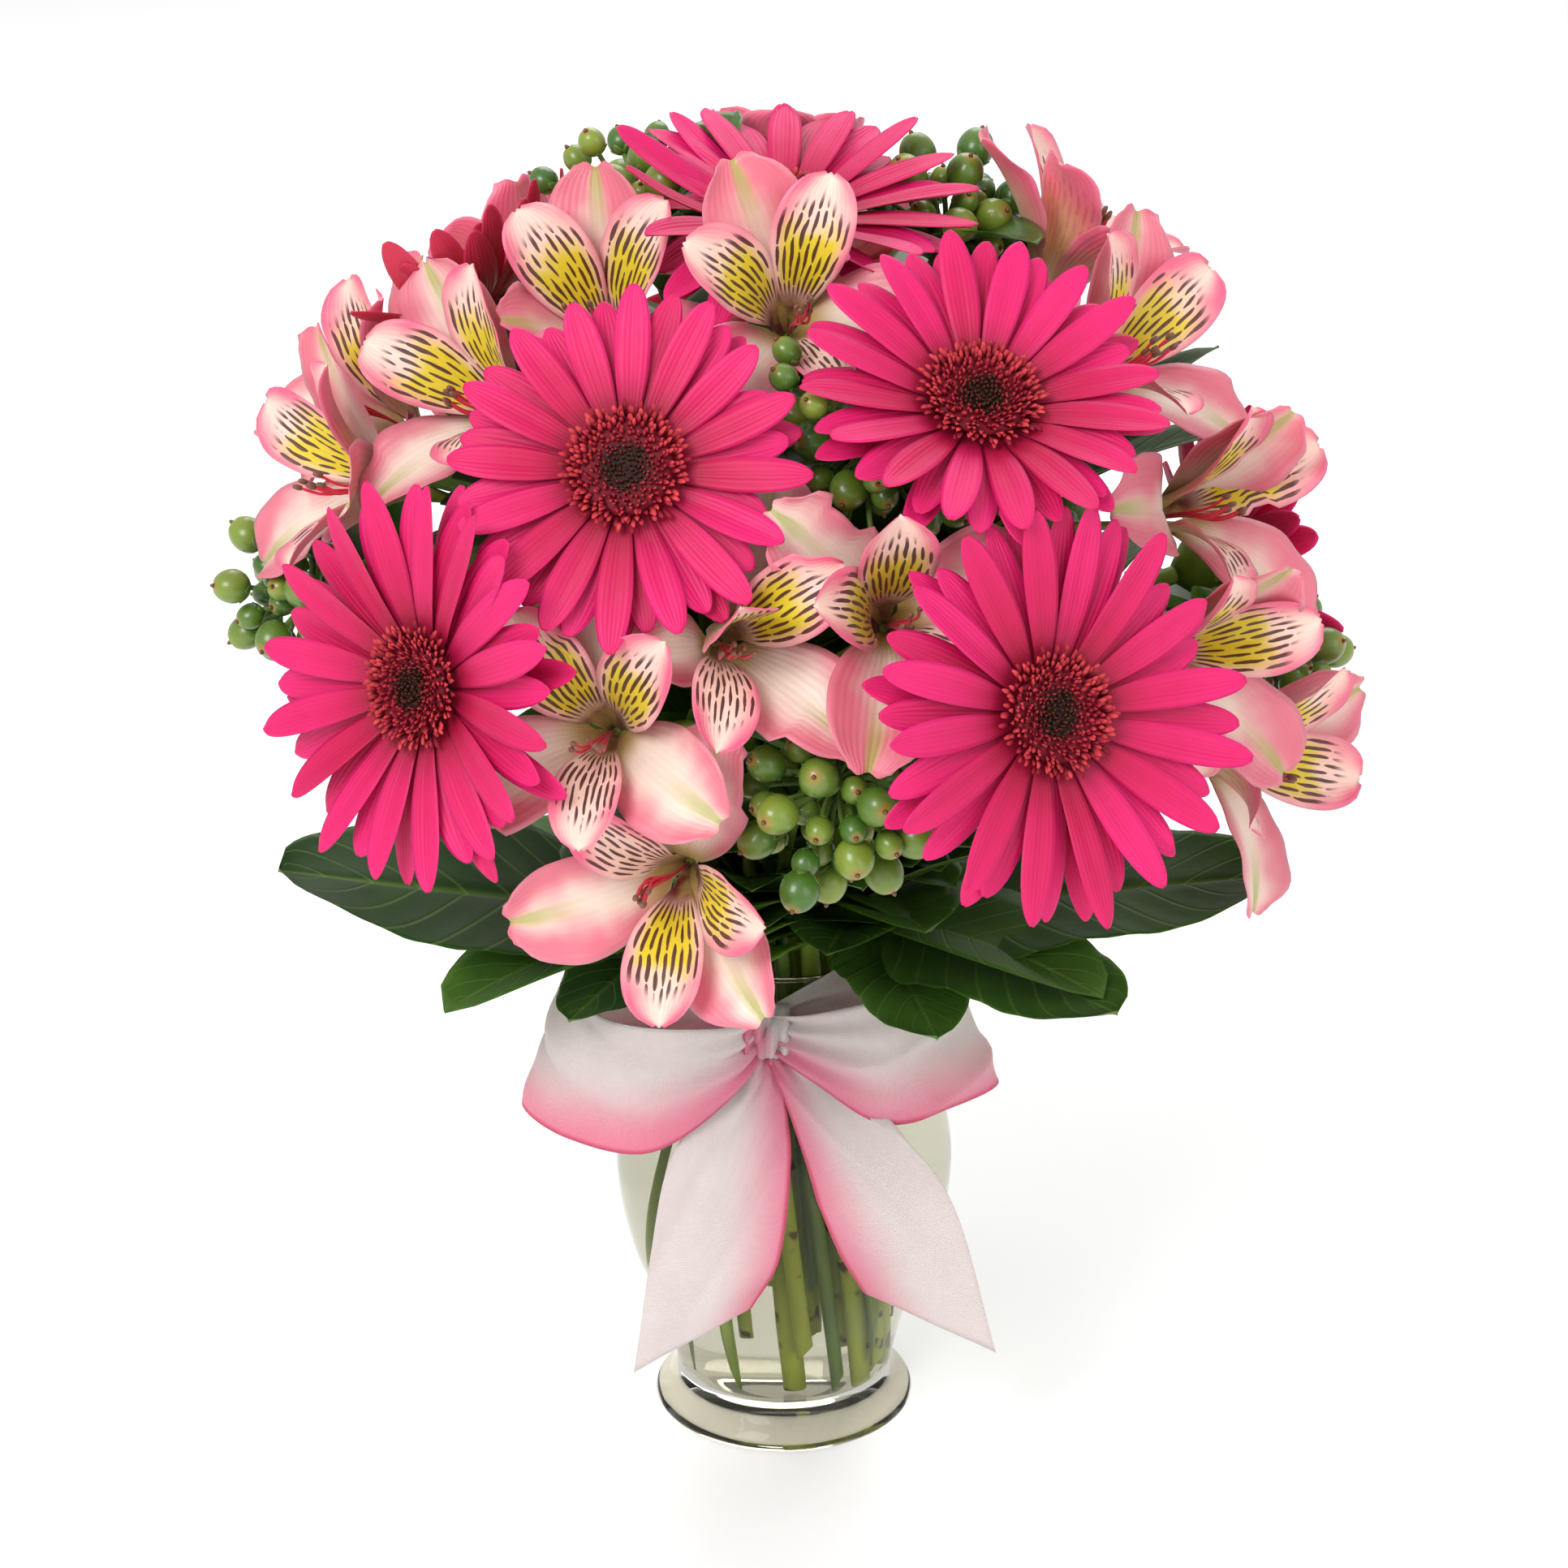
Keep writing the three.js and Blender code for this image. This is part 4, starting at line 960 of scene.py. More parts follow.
BLOOMS = [
    {"spray": "left", "at": (-64, 46, 126), "face": (-50, 36), "roll": -45},
    {"spray": "left", "at": (-58, 62, 124), "face": (-22, 46), "roll": -8},
    {"spray": "top", "at": (2, 66, 132), "face": (4, 38), "roll": -25},
    {"spray": "left", "at": (-80, 28, 133), "face": (-70, 20), "roll": -30},
    {"spray": "left", "at": (-91, 34, 135), "face": (-78, 44), "roll": -10},
    {"spray": "centre", "at": (-22, 12, 130), "face": (-12, 22), "roll": 0},
    {"spray": "centre", "at": (-13, -6, 128), "face": (-12, 4), "roll": 135},
    {"spray": "centre", "at": (-7, 24, 130), "face": (14, 24), "roll": 20},
    {"spray": "centre", "at": (14, 26, 130), "face": (8, 30), "roll": -46},
    {"spray": "right", "at": (76, 46, 134), "face": (58, 42), "roll": 35},
    {"spray": "right", "at": (72, 27, 132), "face": (50, 26), "roll": 40},
    {"spray": "low_right", "at": (58, 12, 130), "face": (44, 14), "roll": 34},
    {"spray": "low_right", "at": (74, -6, 132), "face": (58, 2), "roll": 75},
    {"spray": "top", "at": (97, 56, 140), "face": (104, 58), "roll": 0},
    {"spray": "back", "at": (146, 22, 130), "face": (146, 22), "roll": 20},
    {"spray": "back", "at": (-150, 18, 130), "face": (-150, 18), "roll": -20},
    {"spray": "back", "at": (180, 64, 126), "face": (180, 56), "roll": 0},
    {"spray": "back", "at": (-132, 40, 128), "face": (-134, 34), "roll": 10},
]
THROAT_DEPTH = 17
BLOOM_RING = {"out": 5, "up": 9, "rows": (0.6, 0.86)}
TEPAL_ANGLES = (0, 42, 118, 180, 242, 318)
TEPAL_THICK = 0.5
TEPAL_COLUMNS = 15
CLAW_FOOT = {"out": 1.2, "up": 0.3, "slope": 1.15, "half": 1.1}
# A tepal's form as its solid has it, and then its real outline and how much fuller it is, as tepals overlap.
# The crumple, lobes and blunt tip are real too.
BROAD = {
    "length": 45,
    "width": 24,
    "cup": 0.2,
    "outline": (0.14, 0.66, 2.4, 1.4),
    "start": 58,
    "end": -2,
    "inner": 0.0,
    "real": (0.28, 0.6, 2.3, 1.1),
    "fuller": 1.22,
    "ruffle": 1.3,
    "lobes": 1.3,
    "blunt": 0.8,
}
NARROW = {
    "length": 44,
    "width": 16.5,
    "cup": 0.26,
    "outline": (0.14, 0.7, 2.4, 1.7),
    "start": 79,
    "end": 24,
    "inner": 1.0,
    "real": (0.22, 0.64, 2.3, 1.25),
    "fuller": 1.32,
    "ruffle": 0.6,
    "lobes": -0.6,
    "blunt": 0.3,
}
LIP = {**NARROW, "length": 40.48, "width": 14.025, "end": 14, "inner": 0.55}
TEPALS = ({**BROAD, "end": 20}, NARROW, BROAD, LIP, BROAD, NARROW)
ANTHER = [[0, -1.6], [0.7, -1.2], [0.85, 0], [0.6, 1.2], [0, 1.6]]


def bloom_place(bloom):
    base = in_dome(*bloom["at"]) - towards(*bloom["face"]) * THROAT_DEPTH
    return facing(base, bloom["face"], bloom["roll"])


def tepal(form, place, others, seed):
    """A tepal from its claw in the foot of the flower, up the throat and out to its tip. It's as full as the
    other flowers leave room for."""
    t, rise = np.linspace(0, 1, 22) ** 0.85, np.linspace(0, 1, 6)[:-1]
    arched = arc(t, form["length"], form["start"], form["end"])
    claw = (
        CLAW_FOOT["out"] + (BLOOM_RING["out"] - CLAW_FOOT["out"]) * rise**1.2,
        CLAW_FOOT["up"] + (BLOOM_RING["up"] - CLAW_FOOT["up"]) * rise,
        CLAW_FOOT["slope"] + 0 * rise,
    )
    above = BLOOM_RING["out"], BLOOM_RING["up"], 0
    line = [np.append(low, high + base) for low, high, base in zip(claw, arched, above)]
    grown_along = np.append(0.16 * rise - 0.16, t)
    full = np.maximum(outline(t, *form["real"]) * form["width"] * form["fuller"] / 2, 2.5 - 9 * t)
    half = np.append(CLAW_FOOT["half"] + 1.4 * rise, full)
    half[-1] = half[-2] * form["blunt"]
    wide, grown = np.linspace(-1, 1, TEPAL_COLUMNS), np.clip(grown_along, 0, 1)[:, None]
    wave = np.sin(10 * grown + 4 * wobble(seed, 1) + (wide > 0) * 2.1)
    wave = wave + 0.5 * np.sin(23 * grown + 6 * wobble(seed, 2))
    ruffle = form["ruffle"] * wave * grown * np.abs(wide) ** 2.5
    crease = -0.5 * np.exp(-((wide / 0.12) ** 2)) * np.sin(np.pi * grown)
    lobes = form["lobes"] * (1 - np.cos(2 * np.pi * wide)) / 2 * grown**9

    def cut_to(half):
        keel = 0.3 * half[:, None] * np.abs(wide) * grown**5
        lift = form["cup"] * half[:, None] * wide**2 + ruffle + crease + keel
        shape = blade(line, half, lift, TEPAL_THICK, grown_along, lobes)
        shape[0][:, 0] += 2 * wobble(seed, 3) * np.clip(shape[2]["along"], 0, 1) ** 2
        shape[2].update(inner=form["inner"], tone=wobble(seed, 4))
        return turned_out(shape, form["angle"], place)

    rows = cut_to(half)[0][: len(half) * TEPAL_COLUMNS].reshape(-1, TEPAL_COLUMNS, 3)
    mid = TEPAL_COLUMNS // 2
    clear = np.array([min(free(row[mid:], others), free(row[mid::-1], others)) for row in rows])
    clear = np.min([np.roll(clear, shift) for shift in (-1, 0, 1)], axis=0)
    clear[clear < 1] *= 0.9
    least = np.append(half[: len(rise)], outline(t, *form["outline"]) * form["width"] / 2) * 0.9
    return cut_to(np.maximum(half * clear, np.minimum(least, half)))


def stamens(place, seed):
    """Six curved threads with oblong anthers that droop over the lip and turn up again."""
    shapes = []
    for k in range(6):
        side, far = 3.2 * wobble(seed, k + 50), 1 + 0.1 * wobble(seed, k + 60)
        stations = [(0, 0, 2), (side / 3, -1.5, 14), (side, -5 + 1.5 * wobble(seed, k + 70), 26 * far)]
        stations.append((side * 1.4, -4.2 + 2 * wobble(seed, k + 70), 34 * far))
        thread = tube(curve(stations, 12), 0.42, 6)
        tip = turned(ANTHER, 8)
        shapes.append((placed(thread[0], place), thread[1], {"thread": 1.0, "tone": wobble(seed, k)}))
        tip_at = placed(tip[0] + stations[-1], place)
        shapes.append((tip_at, tip[1], {"thread": 2.0, "tone": wobble(seed, k)}))
    return shapes


def bloom_shapes(bloom, number):
    place, tree = bloom_place(bloom), corners(f"bloom_{number}")
    others, seed, shapes = solids(f"bloom_{number}"), number + 20, []
    for k, (angle, kind) in enumerate(zip(TEPAL_ANGLES, TEPALS)):
        form = {
            **kind,
            "angle": angle + 3 * wobble(seed, k + 20),
            "start": kind["start"] + 3 * wobble(seed, k),
            "end": kind["end"] + 9 * wobble(seed, k + 10),
        }
        form = used(bent(form), lambda f: star_marks(f, BLOOM_RING, f["angle"], place), tree)[0]
        shapes.append(tepal(form, place, others, seed * 10 + k))
    return shapes + stamens(place, seed)


def tepal_colours():
    along, across, under = Shade.value("along"), Shade.value("across"), Shade.value("under")
    inner, thread, tone = Shade.value("inner"), Shade.value("thread"), Shade.value("tone")
    aside, cloud, fine = abs(across), Shade.noise(55, 2), Shade.noise(160, 2)
    pinkness = (aside * 0.65 + along * 0.4 + cloud * 0.9 + tone * 0.14).step(0.6, 1.22)
    broad = Shade.mix(pinkness * 0.9, tint(236, 214, 198), tint(214, 90, 118))
    streak = (1.0 - aside * 4.0 + fine * 0.4).step(0.1, 1.0) * along.step(0.45, 0.95)
    broad = Shade.mix(streak * 0.75, broad, tint(146, 160, 56))
    rosy = (aside * 0.7 + along * 0.5 + cloud * 0.8).step(0.95, 1.6)
    narrow = Shade.mix(rosy, tint(242, 202, 188), tint(226, 84, 122))
    yellow = (1.0 - aside).step(0.08, 0.45) * along.step(0.14, 0.28)
    yellow = yellow * (1.0 - along + fine * 0.25).step(0.36, 0.56)
    narrow = Shade.mix(yellow * inner.step(0.5, 1.0), narrow, tint(216, 194, 34))
    lane = across * 5.0 + 0.5 + (Shade.noise(110, 1) - 0.5) * 0.7
    beat = along * 4.5 + (lane.maths("FLOOR") * 12.9898).maths("SINE") * 4.0 + fine * 1.2
    down, off = abs(beat.maths("FRACT") - 0.5), abs(lane.maths("FRACT") - 0.5)
    uneven = Shade.noise(75, 1)
    dash = (0.25 + uneven * 1.5 - down * down * 4.6 - off * off * 15.0).step(0.0, 0.25)
    spread = along.step(0.1, 0.2) * (1.0 - along - aside * 0.15).step(0.08, 0.2)
    spread = spread * (1.0 - aside).step(0.04, 0.14)
    narrow = Shade.mix(dash * spread * 0.95, narrow, tint(48, 9, 14))
    face = Shade.mix(inner.step(0.2, 0.5), broad, narrow)
    throat = Shade.mix((fine * 1.4).step(0.4, 0.9) * inner, tint(176, 152, 88), tint(96, 34, 36))
    face = Shade.mix((1.0 - along).step(0.72, 0.98), face, throat)
    veins = ((across * 44.0 + cloud * 5.0).maths("SINE") * 0.5 + 0.5) * fine
    outer = (along + aside * 0.4 + cloud * 0.4).step(0.3, 1.3)
    back = Shade.mix(outer, tint(206, 188, 140), tint(228, 96, 128))
    face = Shade.mix(under * 0.85, face, back)
    face = Shade.mix(veins * 0.1, face, tint(214, 96, 124))
    threads = Shade.mix((thread - 1.0).step(0.4, 0.6), tint(206, 36, 66), tint(116, 76, 62))
    return {
        "Base Color": Shade.mix(thread.step(0.4, 0.6), face, threads),
        "Roughness": 0.42 + 0.12 * veins,
        "Sheen Weight": 0.1,
        "Sheen Roughness": 0.4,
        "Subsurface Weight": 0.2,
        "Subsurface Radius": (0.01, 0.005, 0.005),
        "Subsurface Scale": 0.25,
        "Normal": Shade.bump(veins, 0.0003, 0.4),
    }


tepal_skin = material("tepal_pink_and_cream", tepal_colours)
for number, bloom in enumerate(BLOOMS, 1):
    piece(f"bloom_{number}_tepals", bloom_shapes(bloom, number), tepal_skin, "tepal", f"bloom_{number}")


around = solids()  # what the leaves keep away from


def lance(root, bearing, rise, length, width, bend, seed):
    """A lance-shaped leaf that leaves a stem at a rise and bends down along its length."""
    t = np.linspace(0, 1, 18)
    half = outline(t, 0.18, 0.4, 1.35) * width / 2
    half[-1] = 0.15
    wide = np.linspace(-1, 1, 9)
    lift = 0.3 * half[:, None] * np.abs(wide) + 0.6 * np.sin(7 * t[:, None] + 3 * wobble(seed, 1)) * wide
    shape = blade(arc(t, length, rise, rise - bend), half, lift, 0.45, along=t)
    shape[2].update(tone=wobble(seed, 2), leaf=1.0)
    turn = Matrix.Rotation(math.radians(bearing + 180), 3, "Z")
    return shape[0] @ np.array(turn).T + root, *shape[1:]


def strap_leaf(root, bearing, rise, length, width, bend, seed):
    """A leaf that is turned to where it finds the most room among the flowers."""
    ways = [(bearing + a, rise + b) for b in (0, -14, 14) for a in (0, 25, -25, 50, -50)]
    rooms = []
    for turned_to, raised in ways:
        out, up, _ = arc(np.linspace(0.3, 1, 13), length, raised, raised - bend)
        line = root + out[:, None] * towards(turned_to, 0) + up[:, None] * (0, 0, 1)
        rooms.append(min(around.find_nearest(point)[3] for point in line))
    best = ways[rooms.index(max(rooms))]
    return lance(root, *best, length, width, bend, seed)


def leaf_to(root, tip, width, seed):
    """A leaf whose tip reaches a point."""
    way = np.array(tip) - root
    length = np.linalg.norm(way)
    rise = math.degrees(math.asin(way[2] / length)) + 12
    return lance(root, math.degrees(math.atan2(way[0], -way[1])), rise, length, width, 24, seed)


def spray_shapes(name, spray):
    """The stem with its leaves and, from the umbel, a stalk to each flower."""
    node, umbel = f"alstroemeria_{name}_stem", in_dome(*spray["umbel"])
    way, tree = towards(*spray["umbel"][:2]), corners(node)
    line = stem_line(node, spray["slot"], ALSTROEMERIA_STEM, umbel, spray["umbel"][:2], 30)
    shapes = [tube(line, ALSTROEMERIA_STEM, 12, 0.0, 1.1)]
    for number, bloom in enumerate(BLOOMS, 1):
        if bloom["spray"] != name:
            continue
        base, face = bloom_place(bloom)[1], towards(*bloom["face"])
        ends = (umbel - way * 1.2, way * 12, base - face * 0.6, face * 16)

        def rings(sway):
            return tube(bow_of(*ends, sway, 5), STALK, 4)[0].reshape(5, 4, 3)[1:4].reshape(-1, 3)

        stalk = bow_of(*ends, used(SWAYS, rings, tree)[0], 22)
        stalk[-1] = base + face * 0.6
        radii = np.append(np.full(len(stalk) - len(FLARE), STALK), FLARE)
        shapes.append(tube(stalk, radii, 10, 0.4))
    for k, gap in enumerate(GAPS.get(name, [])):
        shapes.append(leaf_to(umbel - way * (3 + 2 * k), gap, WHORL["width"], k + 40))
    for k in range(WHORL["count"]):
        bearing, rise = 77 * k + 9 * len(name), 30 + 32 * (k % 2)
        size = WHORL["length"] + 8 * wobble(k, len(name) + 3), WHORL["width"], WHORL["bend"]
        shapes.append(strap_leaf(umbel - way * (4 + k), bearing, rise, *size, k + 9 * len(name)))
    for k, (step, tip, width) in enumerate(TORN if name == "centre" else []):
        torn = leaf_to(line[step], tip, width, k + 4)
        torn[2]["leaf"] = 0.05
        shapes.append(torn)
    for k in range(STEM_LEAVES["count"]):
        root, bearing = line[10 + int(1.5 * k)], 137.5 * k + 360 * wobble(len(name), 3)
        length = STEM_LEAVES["length"] + 14 * wobble(k, len(name))
        size = length, STEM_LEAVES["width"], STEM_LEAVES["bend"]
        shapes.append(strap_leaf(root, bearing, 62 - 2 * k, *size, k + 10 * len(name)))
    return shapes


spray_green = material("alstroemeria_green", foliage((84, 120, 44), (36, 68, 22), (112, 140, 64)))
for name, spray in SPRAYS.items():
    piece(f"{name}_spray", spray_shapes(name, spray), spray_green, "stem", f"alstroemeria_{name}_stem")

# ---------------------------------------------------------------- hypericum
# Six woody stems with small leaves, each branching into a flat head of smooth green berries. A berry sits in
# a cup of five sepals and keeps the brown stub of its styles at the tip.

BERRY = {"length": 11.5, "radius": 5.2}
BERRY_STALK = 0.75
BERRY_STEM = 1.9
SMALLER = 0.72  # the size of the berries that the solids don't have
EXTRA = 60  # places that are tried for them
HUB = 3.6  # stalks start this far from the middle of their hub
# proud is how far every other small berry stands out past the head.
HYPERICUMS = [
    {"hub": (-104, 72, 130), "face": (-95, 66), "spread": 22, "count": 10, "slot": ("middle", -160, 0.2)},
    {"hub": (112, 68, 130), "face": (110, 62), "spread": 24, "count": 12, "slot": ("middle", 120, 0.3)},
    {"hub": (16, 49, 122), "face": (10, 42), "spread": 22, "count": 11, "slot": ("middle", 0, 0.25)},
    {"hub": (7, 6, 117), "face": (6, 8), "spread": 31, "count": 18, "slot": ("outer", 0, 0)},
    {"hub": (-88, 10, 135), "face": (-86, 12), "spread": 22, "count": 10, "slot": ("outer", -96, 0.3)},
    {"hub": (88, 1, 138), "face": (86, 2), "spread": 21, "count": 9, "slot": ("outer", 96, 0.1)},
]
HYPERICUMS[0]["proud"] = 15
HYPERICUMS[2]["proud"] = 13


def along_way(root, way):
    """A frame with +Z along a way."""
    return facing(root, (math.degrees(math.atan2(way[0], -way[1])), math.degrees(math.asin(way[2]))))


def berry_shapes(root, way, lift, size, seed):
    """A berry on its stalk, in its sepals."""
    place = along_way(root, way)
    length, radius = BERRY["length"] * size, BERRY["radius"] * size
    s = np.linspace(0, 1, 15)
    swell = np.sqrt(np.clip(1 - (2 * s - 1) ** 2, 0, 1)) * (1 - 0.08 * (2 * s - 1))
    profile = [[radius * r, lift + length * t] for r, t in zip(swell, s)]
    profile[0][0] = profile[-1][0] = 0
    body = turned(profile, 20)
    body[0][:, :2] *= (1 + 0.025 * np.cos(3 * np.arctan2(body[0][:, 1], body[0][:, 0])))[:, None]
    high = (body[0][:, 2] - lift) / length
    shapes = [(placed(body[0], place), body[1], {"berry": 1.0, "along": high, "tone": wobble(seed, 1)})]
    tip = turned([[0, length - 0.4], [0.75, length - 0.3], [0.5, length + 0.5], [0, length + 0.9]], 8)
    shapes.append((placed(tip[0] + (0, 0, lift), place), tip[1], {"berry": 2.0, "tone": 0.0}))
    t = np.linspace(0, 1, 7)
    line = np.stack([1.2 * np.sin(3.1 * t) * wobble(seed, 5), 0 * t, t * (lift + 0.6)], 1)
    shapes.append(tube(placed(line, place), BERRY_STALK, 8, wobble(seed, 2)))
    for k in range(5):
        t = np.linspace(0, 1, 6)
        out, up, slope = arc(t, 5.6 * size, 10, 62)
        half = outline(t, 0.5, 0.4, 1.4) * 1.7 * size
        half[-1] = 0.1
        off = np.repeat(0.1 * half[:, None], 3, axis=1)
        sepal = blade((out + 0.5, up + lift - 0.2, slope), half, off, 0.4, along=t)
        sepal[2]["tone"] = wobble(seed, k + 8)
        shapes.append(turned_out(sepal, 72 * k + 30 * wobble(seed, 3), place))
    return shapes


def fanned(middle, off, turn):
    """A way that leans off the middle of a head and is turned round it."""
    return placed((math.sin(off) * math.cos(turn), math.sin(off) * math.sin(turn), math.cos(off)), middle)


def plant_shapes(plant, number):
    """The stem and its head of berries as on the solid, and smaller berries between and under them."""
    node, hub, seed = f"hypericum_{number}", in_dome(*plant["hub"]), number + 50
    tree, others = corners(node), solids(node)
    line = stem_line(node, plant["slot"], BERRY_STEM, hub, plant["face"], 30)
    shapes, middles = [tube(line, BERRY_STEM, 10, 0.0, 1.4)], []
    head = facing((0, 0, 0), plant["face"])
    for i in range(plant["count"]):
        way = fanned(head, math.radians(84) * math.sqrt((i + 0.5) / plant["count"]), math.radians(137.5) * i)
        distance = plant["spread"] * (0.86 + 0.2 * wobble(seed, i)) - BERRY["length"] / 2
        root = hub + way * HUB
        lifts = [share * distance for share in (1, 0.85, 1.15, 0.7, 0.55)]
        lift, off_by = used(lifts, lambda a: [root + way * (a + BERRY["length"])], tree)
        if off_by > 0.3:
            continue
        middles.append(root + way * (lift + BERRY["length"] / 2))
        shapes += berry_shapes(root, way, lift, 1 + 0.05 * wobble(seed, i + 30), seed * 40 + i)
    for i in range(EXTRA):
        way = fanned(head, math.radians(100) * math.sqrt((i + 0.5) / EXTRA), math.radians(222.5) * i + 1)
        lift = plant["spread"] * (0.55 + 0.25 * wobble(seed, i + 60)) - 3 + plant.get("proud", 0) * (i % 2)
        middle = hub + way * (HUB + lift + 4)
        apart = min(np.linalg.norm(middle - other) for other in middles)
        roomy = others.find_nearest(middle)[3] > 4.6 and free([hub + way * 5, middle], others) == 1
        if apart > 7.9 and roomy:
            middles.append(middle)
            shapes += berry_shapes(hub + way * HUB, way, lift, SMALLER, seed * 60 + i)
    for k in range(16):
        root = line[-2 - int(1.8 * k)]
        shapes.append(strap_leaf(root, 150 * k + 40 * number, 42, 52 - k, 25, 24, k + 7 * number))
    for k in range(4):
        bearing = plant["slot"][1] + 50 * (k - 1.5)
        shapes.append(strap_leaf(line[9 + k], bearing, 46 + 6 * k, 62, 36, 44, k + 5 * number))
    return shapes


def berry_green():
    along, berry = Shade.value("along"), Shade.value("berry")
    tone, leaf = Shade.value("tone"), Shade.value("leaf")
    cloud = Shade.noise(90, 2)
    ripe = (along * 0.35 + cloud * 0.6 + tone * 0.45).step(0.1, 1.15)
    skin = Shade.mix(ripe, tint(64, 102, 32), tint(126, 144, 48))
    skin = Shade.mix(along.step(0.9, 1.0) * berry.step(0.5, 0.9), skin, tint(150, 120, 50))
    stalk = Shade.mix(cloud, tint(66, 104, 40), tint(118, 140, 62))
    stalk = Shade.mix(leaf, stalk, Shade.mix(cloud, tint(36, 68, 22), tint(80, 116, 42)))
    colour = Shade.mix(berry.step(0.5, 0.9), stalk, skin)
    return {
        "Base Color": Shade.mix(berry.step(1.4, 1.6), colour, tint(104, 62, 28)),
        "Roughness": 0.28 + 0.16 * cloud,
        "Coat Weight": 0.25 * berry.step(0.5, 0.9),
        "Subsurface Weight": 0.12,
        "Subsurface Radius": (0.004, 0.007, 0.002),
        "Subsurface Scale": 0.5,
        "Normal": Shade.bump(Shade.noise(420, 2), 0.0002, 0.35),
    }


berries = material("berry_green", berry_green)
for number, plant in enumerate(HYPERICUMS, 1):
    piece(f"hypericum_{number}_berries", plant_shapes(plant, number), berries, "berry", f"hypericum_{number}")

# ---------------------------------------------------------------- collar of broad leaves
# Three woody sprigs at the rim with large leathery leaves that spread out under the flowers, waved at their
# edges, with a sunken middle rib and side veins.

LEAF_STEM = 1.8
LEAF = {"cup": 0.1, "outline": (0.04, 0.42, 1.5, 1.6)}
LEAF_THICK = 0.55
LEAF_FROM = 1.7  # its root lies this far from the middle of the hub
HUB_OUT = 25
UNDER_WIDTH = 46
WAVE = 1.6
WAVES = 2.2
RIB = {"deep": 1.1, "half": 0.06}
QUILT = {"deep": 0.35, "count": 9, "slant": 0.24}
LEAF_ROWS = (0.14, 0.34, 0.58, 0.82)  # where the solid leaf has its corners
# Each sprig's hub (bearing and height), its stem's slot, and the tips of smaller leaves under the large ones.
SPRIGS = {
    "leaves_left": {
        "hub": (-72, 163),
        "slot": ("outer", -72, 0.15),
        "under": [(-96, -66, 160), (-62, -62, 180), (-4, -60, 184)],
    },
    "leaves_right": {
        "hub": (72, 163),
        "slot": ("outer", 72, 0),
        "under": [(90, -66, 164), (40, -64, 184), (12, -62, 176)],
    },
    "leaves_back": {
        "hub": (148, 164),
        "slot": ("outer", 144, 0.1),
        "under": [(50, 78, 176)],
    },
}
LEAVES = [
    {"sprig": "leaves_left", "bearing": -77, "start": 14, "end": 14, "length": 126, "width": 74, "tilt": -12},
    {"sprig": "leaves_left", "bearing": -38, "start": -4, "end": -24, "length": 60, "width": 38, "tilt": 0},
    {"sprig": "leaves_left", "bearing": -122, "start": 2, "end": 8, "length": 100, "width": 58, "tilt": 0},
    {"sprig": "leaves_right", "bearing": 80, "start": 15, "end": 9, "length": 120, "width": 66, "tilt": 12},
    {"sprig": "leaves_right", "bearing": 48, "start": 4, "end": -6, "length": 92, "width": 58, "tilt": 4},
    {"sprig": "leaves_right", "bearing": 18, "start": -5, "end": -22, "length": 62, "width": 40, "tilt": 0},
    {"sprig": "leaves_back", "bearing": 114, "start": 12, "end": 8, "length": 98, "width": 58, "tilt": 0},
    {"sprig": "leaves_back", "bearing": 155, "start": 4, "end": 4, "length": 98, "width": 58, "tilt": 0},
    {"sprig": "leaves_back", "bearing": -164, "start": -4, "end": 2, "length": 96, "width": 56, "tilt": 0},
]


def hub_of(sprig):
    bearing, z = SPRIGS[sprig]["hub"]
    return towards(bearing, 0) * HUB_OUT + (0, 0, z)


def leaf_place(leaf):
    """The leaf's frame: its root at the sprig's hub, +Y along its rib."""
    turn = Matrix.Rotation(math.radians(leaf["bearing"] + 180), 3, "Z")
    axes = np.array(turn @ Matrix.Rotation(math.radians(leaf["tilt"]), 3, "Y")).T
    return axes, hub_of(leaf["sprig"]) + axes[1] * LEAF_FROM


def waved(t, u):
    """How far the wave of a leaf's edge lifts it."""
    return WAVE * np.abs(u) * np.sin(2 * np.pi * WAVES * t + np.where(u > 0, 0, 1.2))


def leaf_marks(form, place):
    """The corners on the edges of a solid leaf."""
    marks = []
    for t in LEAF_ROWS:
        out, up, slope = arc(t, form["length"], form["start"], form["end"])
        half = float(outline(t, *form["outline"])) * form["width"] / 2
        for u in (-1, 1):
            off = form["cup"] * half + float(waved(t, u))
            marks.append((half * u, out - off * math.sin(slope), up + off * math.cos(slope)))
    return placed(marks, place)


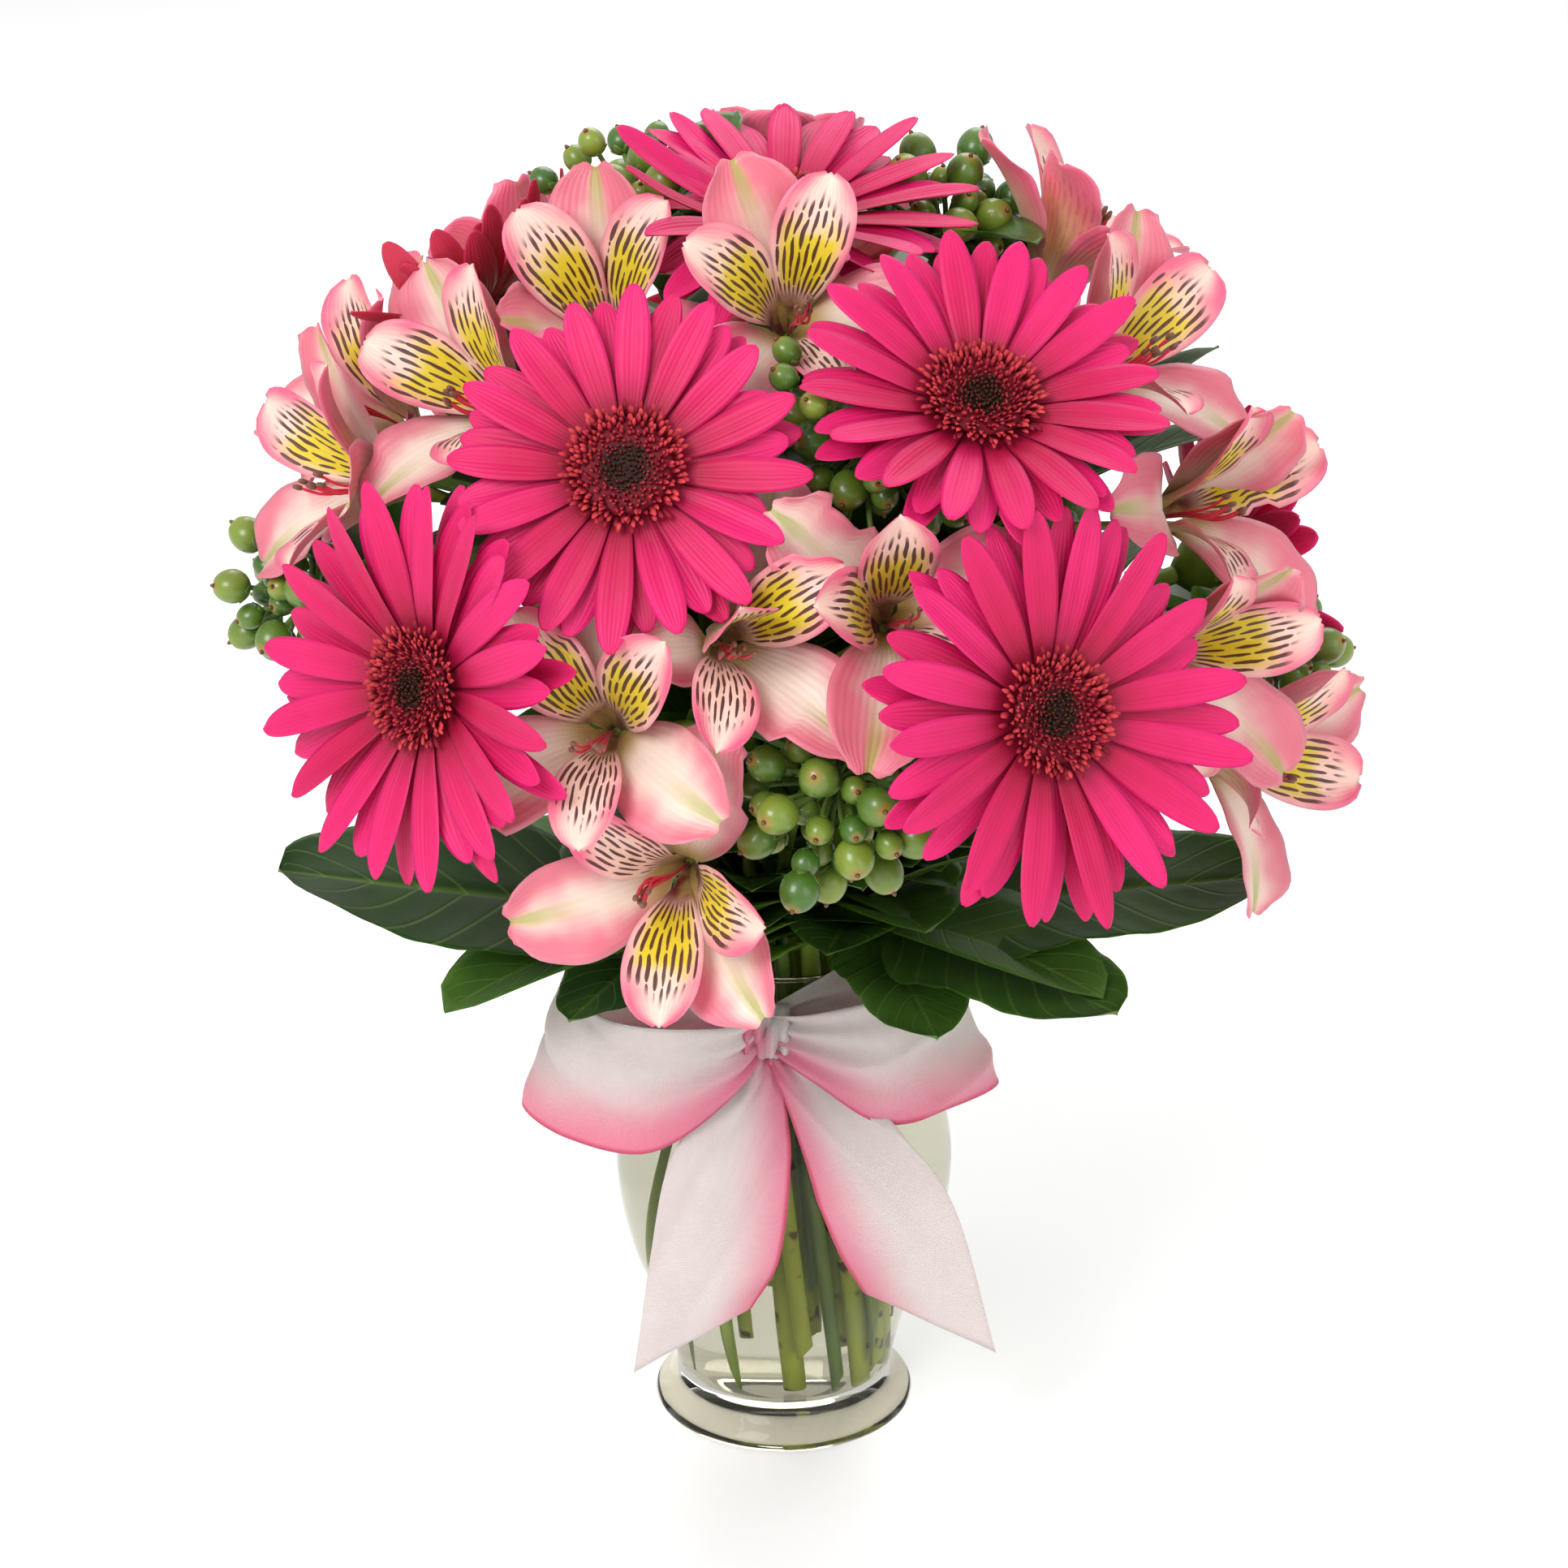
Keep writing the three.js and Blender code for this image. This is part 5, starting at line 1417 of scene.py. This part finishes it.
def broad_leaf(leaf, seed):
    place = leaf_place(leaf)
    form = used(bent({**LEAF, **leaf}), lambda f: leaf_marks(f, place), corners(leaf["sprig"]))[0]
    t = np.linspace(0, 1, 44)
    out, up, slope = arc(t, form["length"], form["start"], form["end"])
    half = np.maximum(outline(t, *form["outline"]) * form["width"] / 2, 1.3 * (1 - t))
    half[-1] = 0.15
    wide = np.linspace(-1, 1, 25)
    grown = np.sin(np.pi * np.clip(t, 0, 1))[:, None]
    rib = -RIB["deep"] * np.exp(-((wide / RIB["half"]) ** 2)) * grown
    pillows = np.cos(2 * np.pi * QUILT["count"] * (t[:, None] - QUILT["slant"] * np.abs(wide)))
    quilt = QUILT["deep"] * grown * pillows * np.abs(wide) ** 0.5
    lift = form["cup"] * half[:, None] * wide**2 + waved(t[:, None], wide) + rib + quilt
    shape = blade((out, up, slope), half, lift, LEAF_THICK, along=t)
    shape[2].update(tone=wobble(seed, 1), leaf=1.0)
    return placed(shape[0], place), *shape[1:]


broad_green = material("broad_leaf_green", foliage((72, 108, 38), (34, 64, 20), (112, 140, 64)))
for name, sprig in SPRIGS.items():
    hub = hub_of(name)
    woody = stem_line(name, sprig["slot"], LEAF_STEM, hub, (sprig["hub"][0], 50), 8)
    shapes = [tube(np.vstack([woody, hub + (0, 0, 1.5)]), LEAF_STEM, 10)]
    shapes += [broad_leaf(leaf, k + 90) for k, leaf in enumerate(LEAVES) if leaf["sprig"] == name]
    shapes += [leaf_to(hub, tip, UNDER_WIDTH, k + 60) for k, tip in enumerate(sprig["under"])]
    piece(name + "_sprig", shapes, broad_green, "leaf", name)

# ---------------------------------------------------------------- table
# The white lacquered table top that it all stands on, a plain sheet in metres.

TABLE_CORNERS = [(-6, -4, 0), (6, -4, 0), (6, 8, 0), (-6, 8, 0)]
table_top = bpy.data.meshes.new("table")
table_top.from_pydata(TABLE_CORNERS, [], [[0, 1, 2, 3]])


def lacquer():
    grain = Shade.noise(3, 3)
    return {"Base Color": Shade.mix(grain, tint(250, 250, 250), tint(246, 246, 246)), "Roughness": 0.55}


table_top.materials.append(material("white_table", lacquer))
table = bpy.data.objects.new("table", table_top)
bpy.context.collection.objects.link(table)
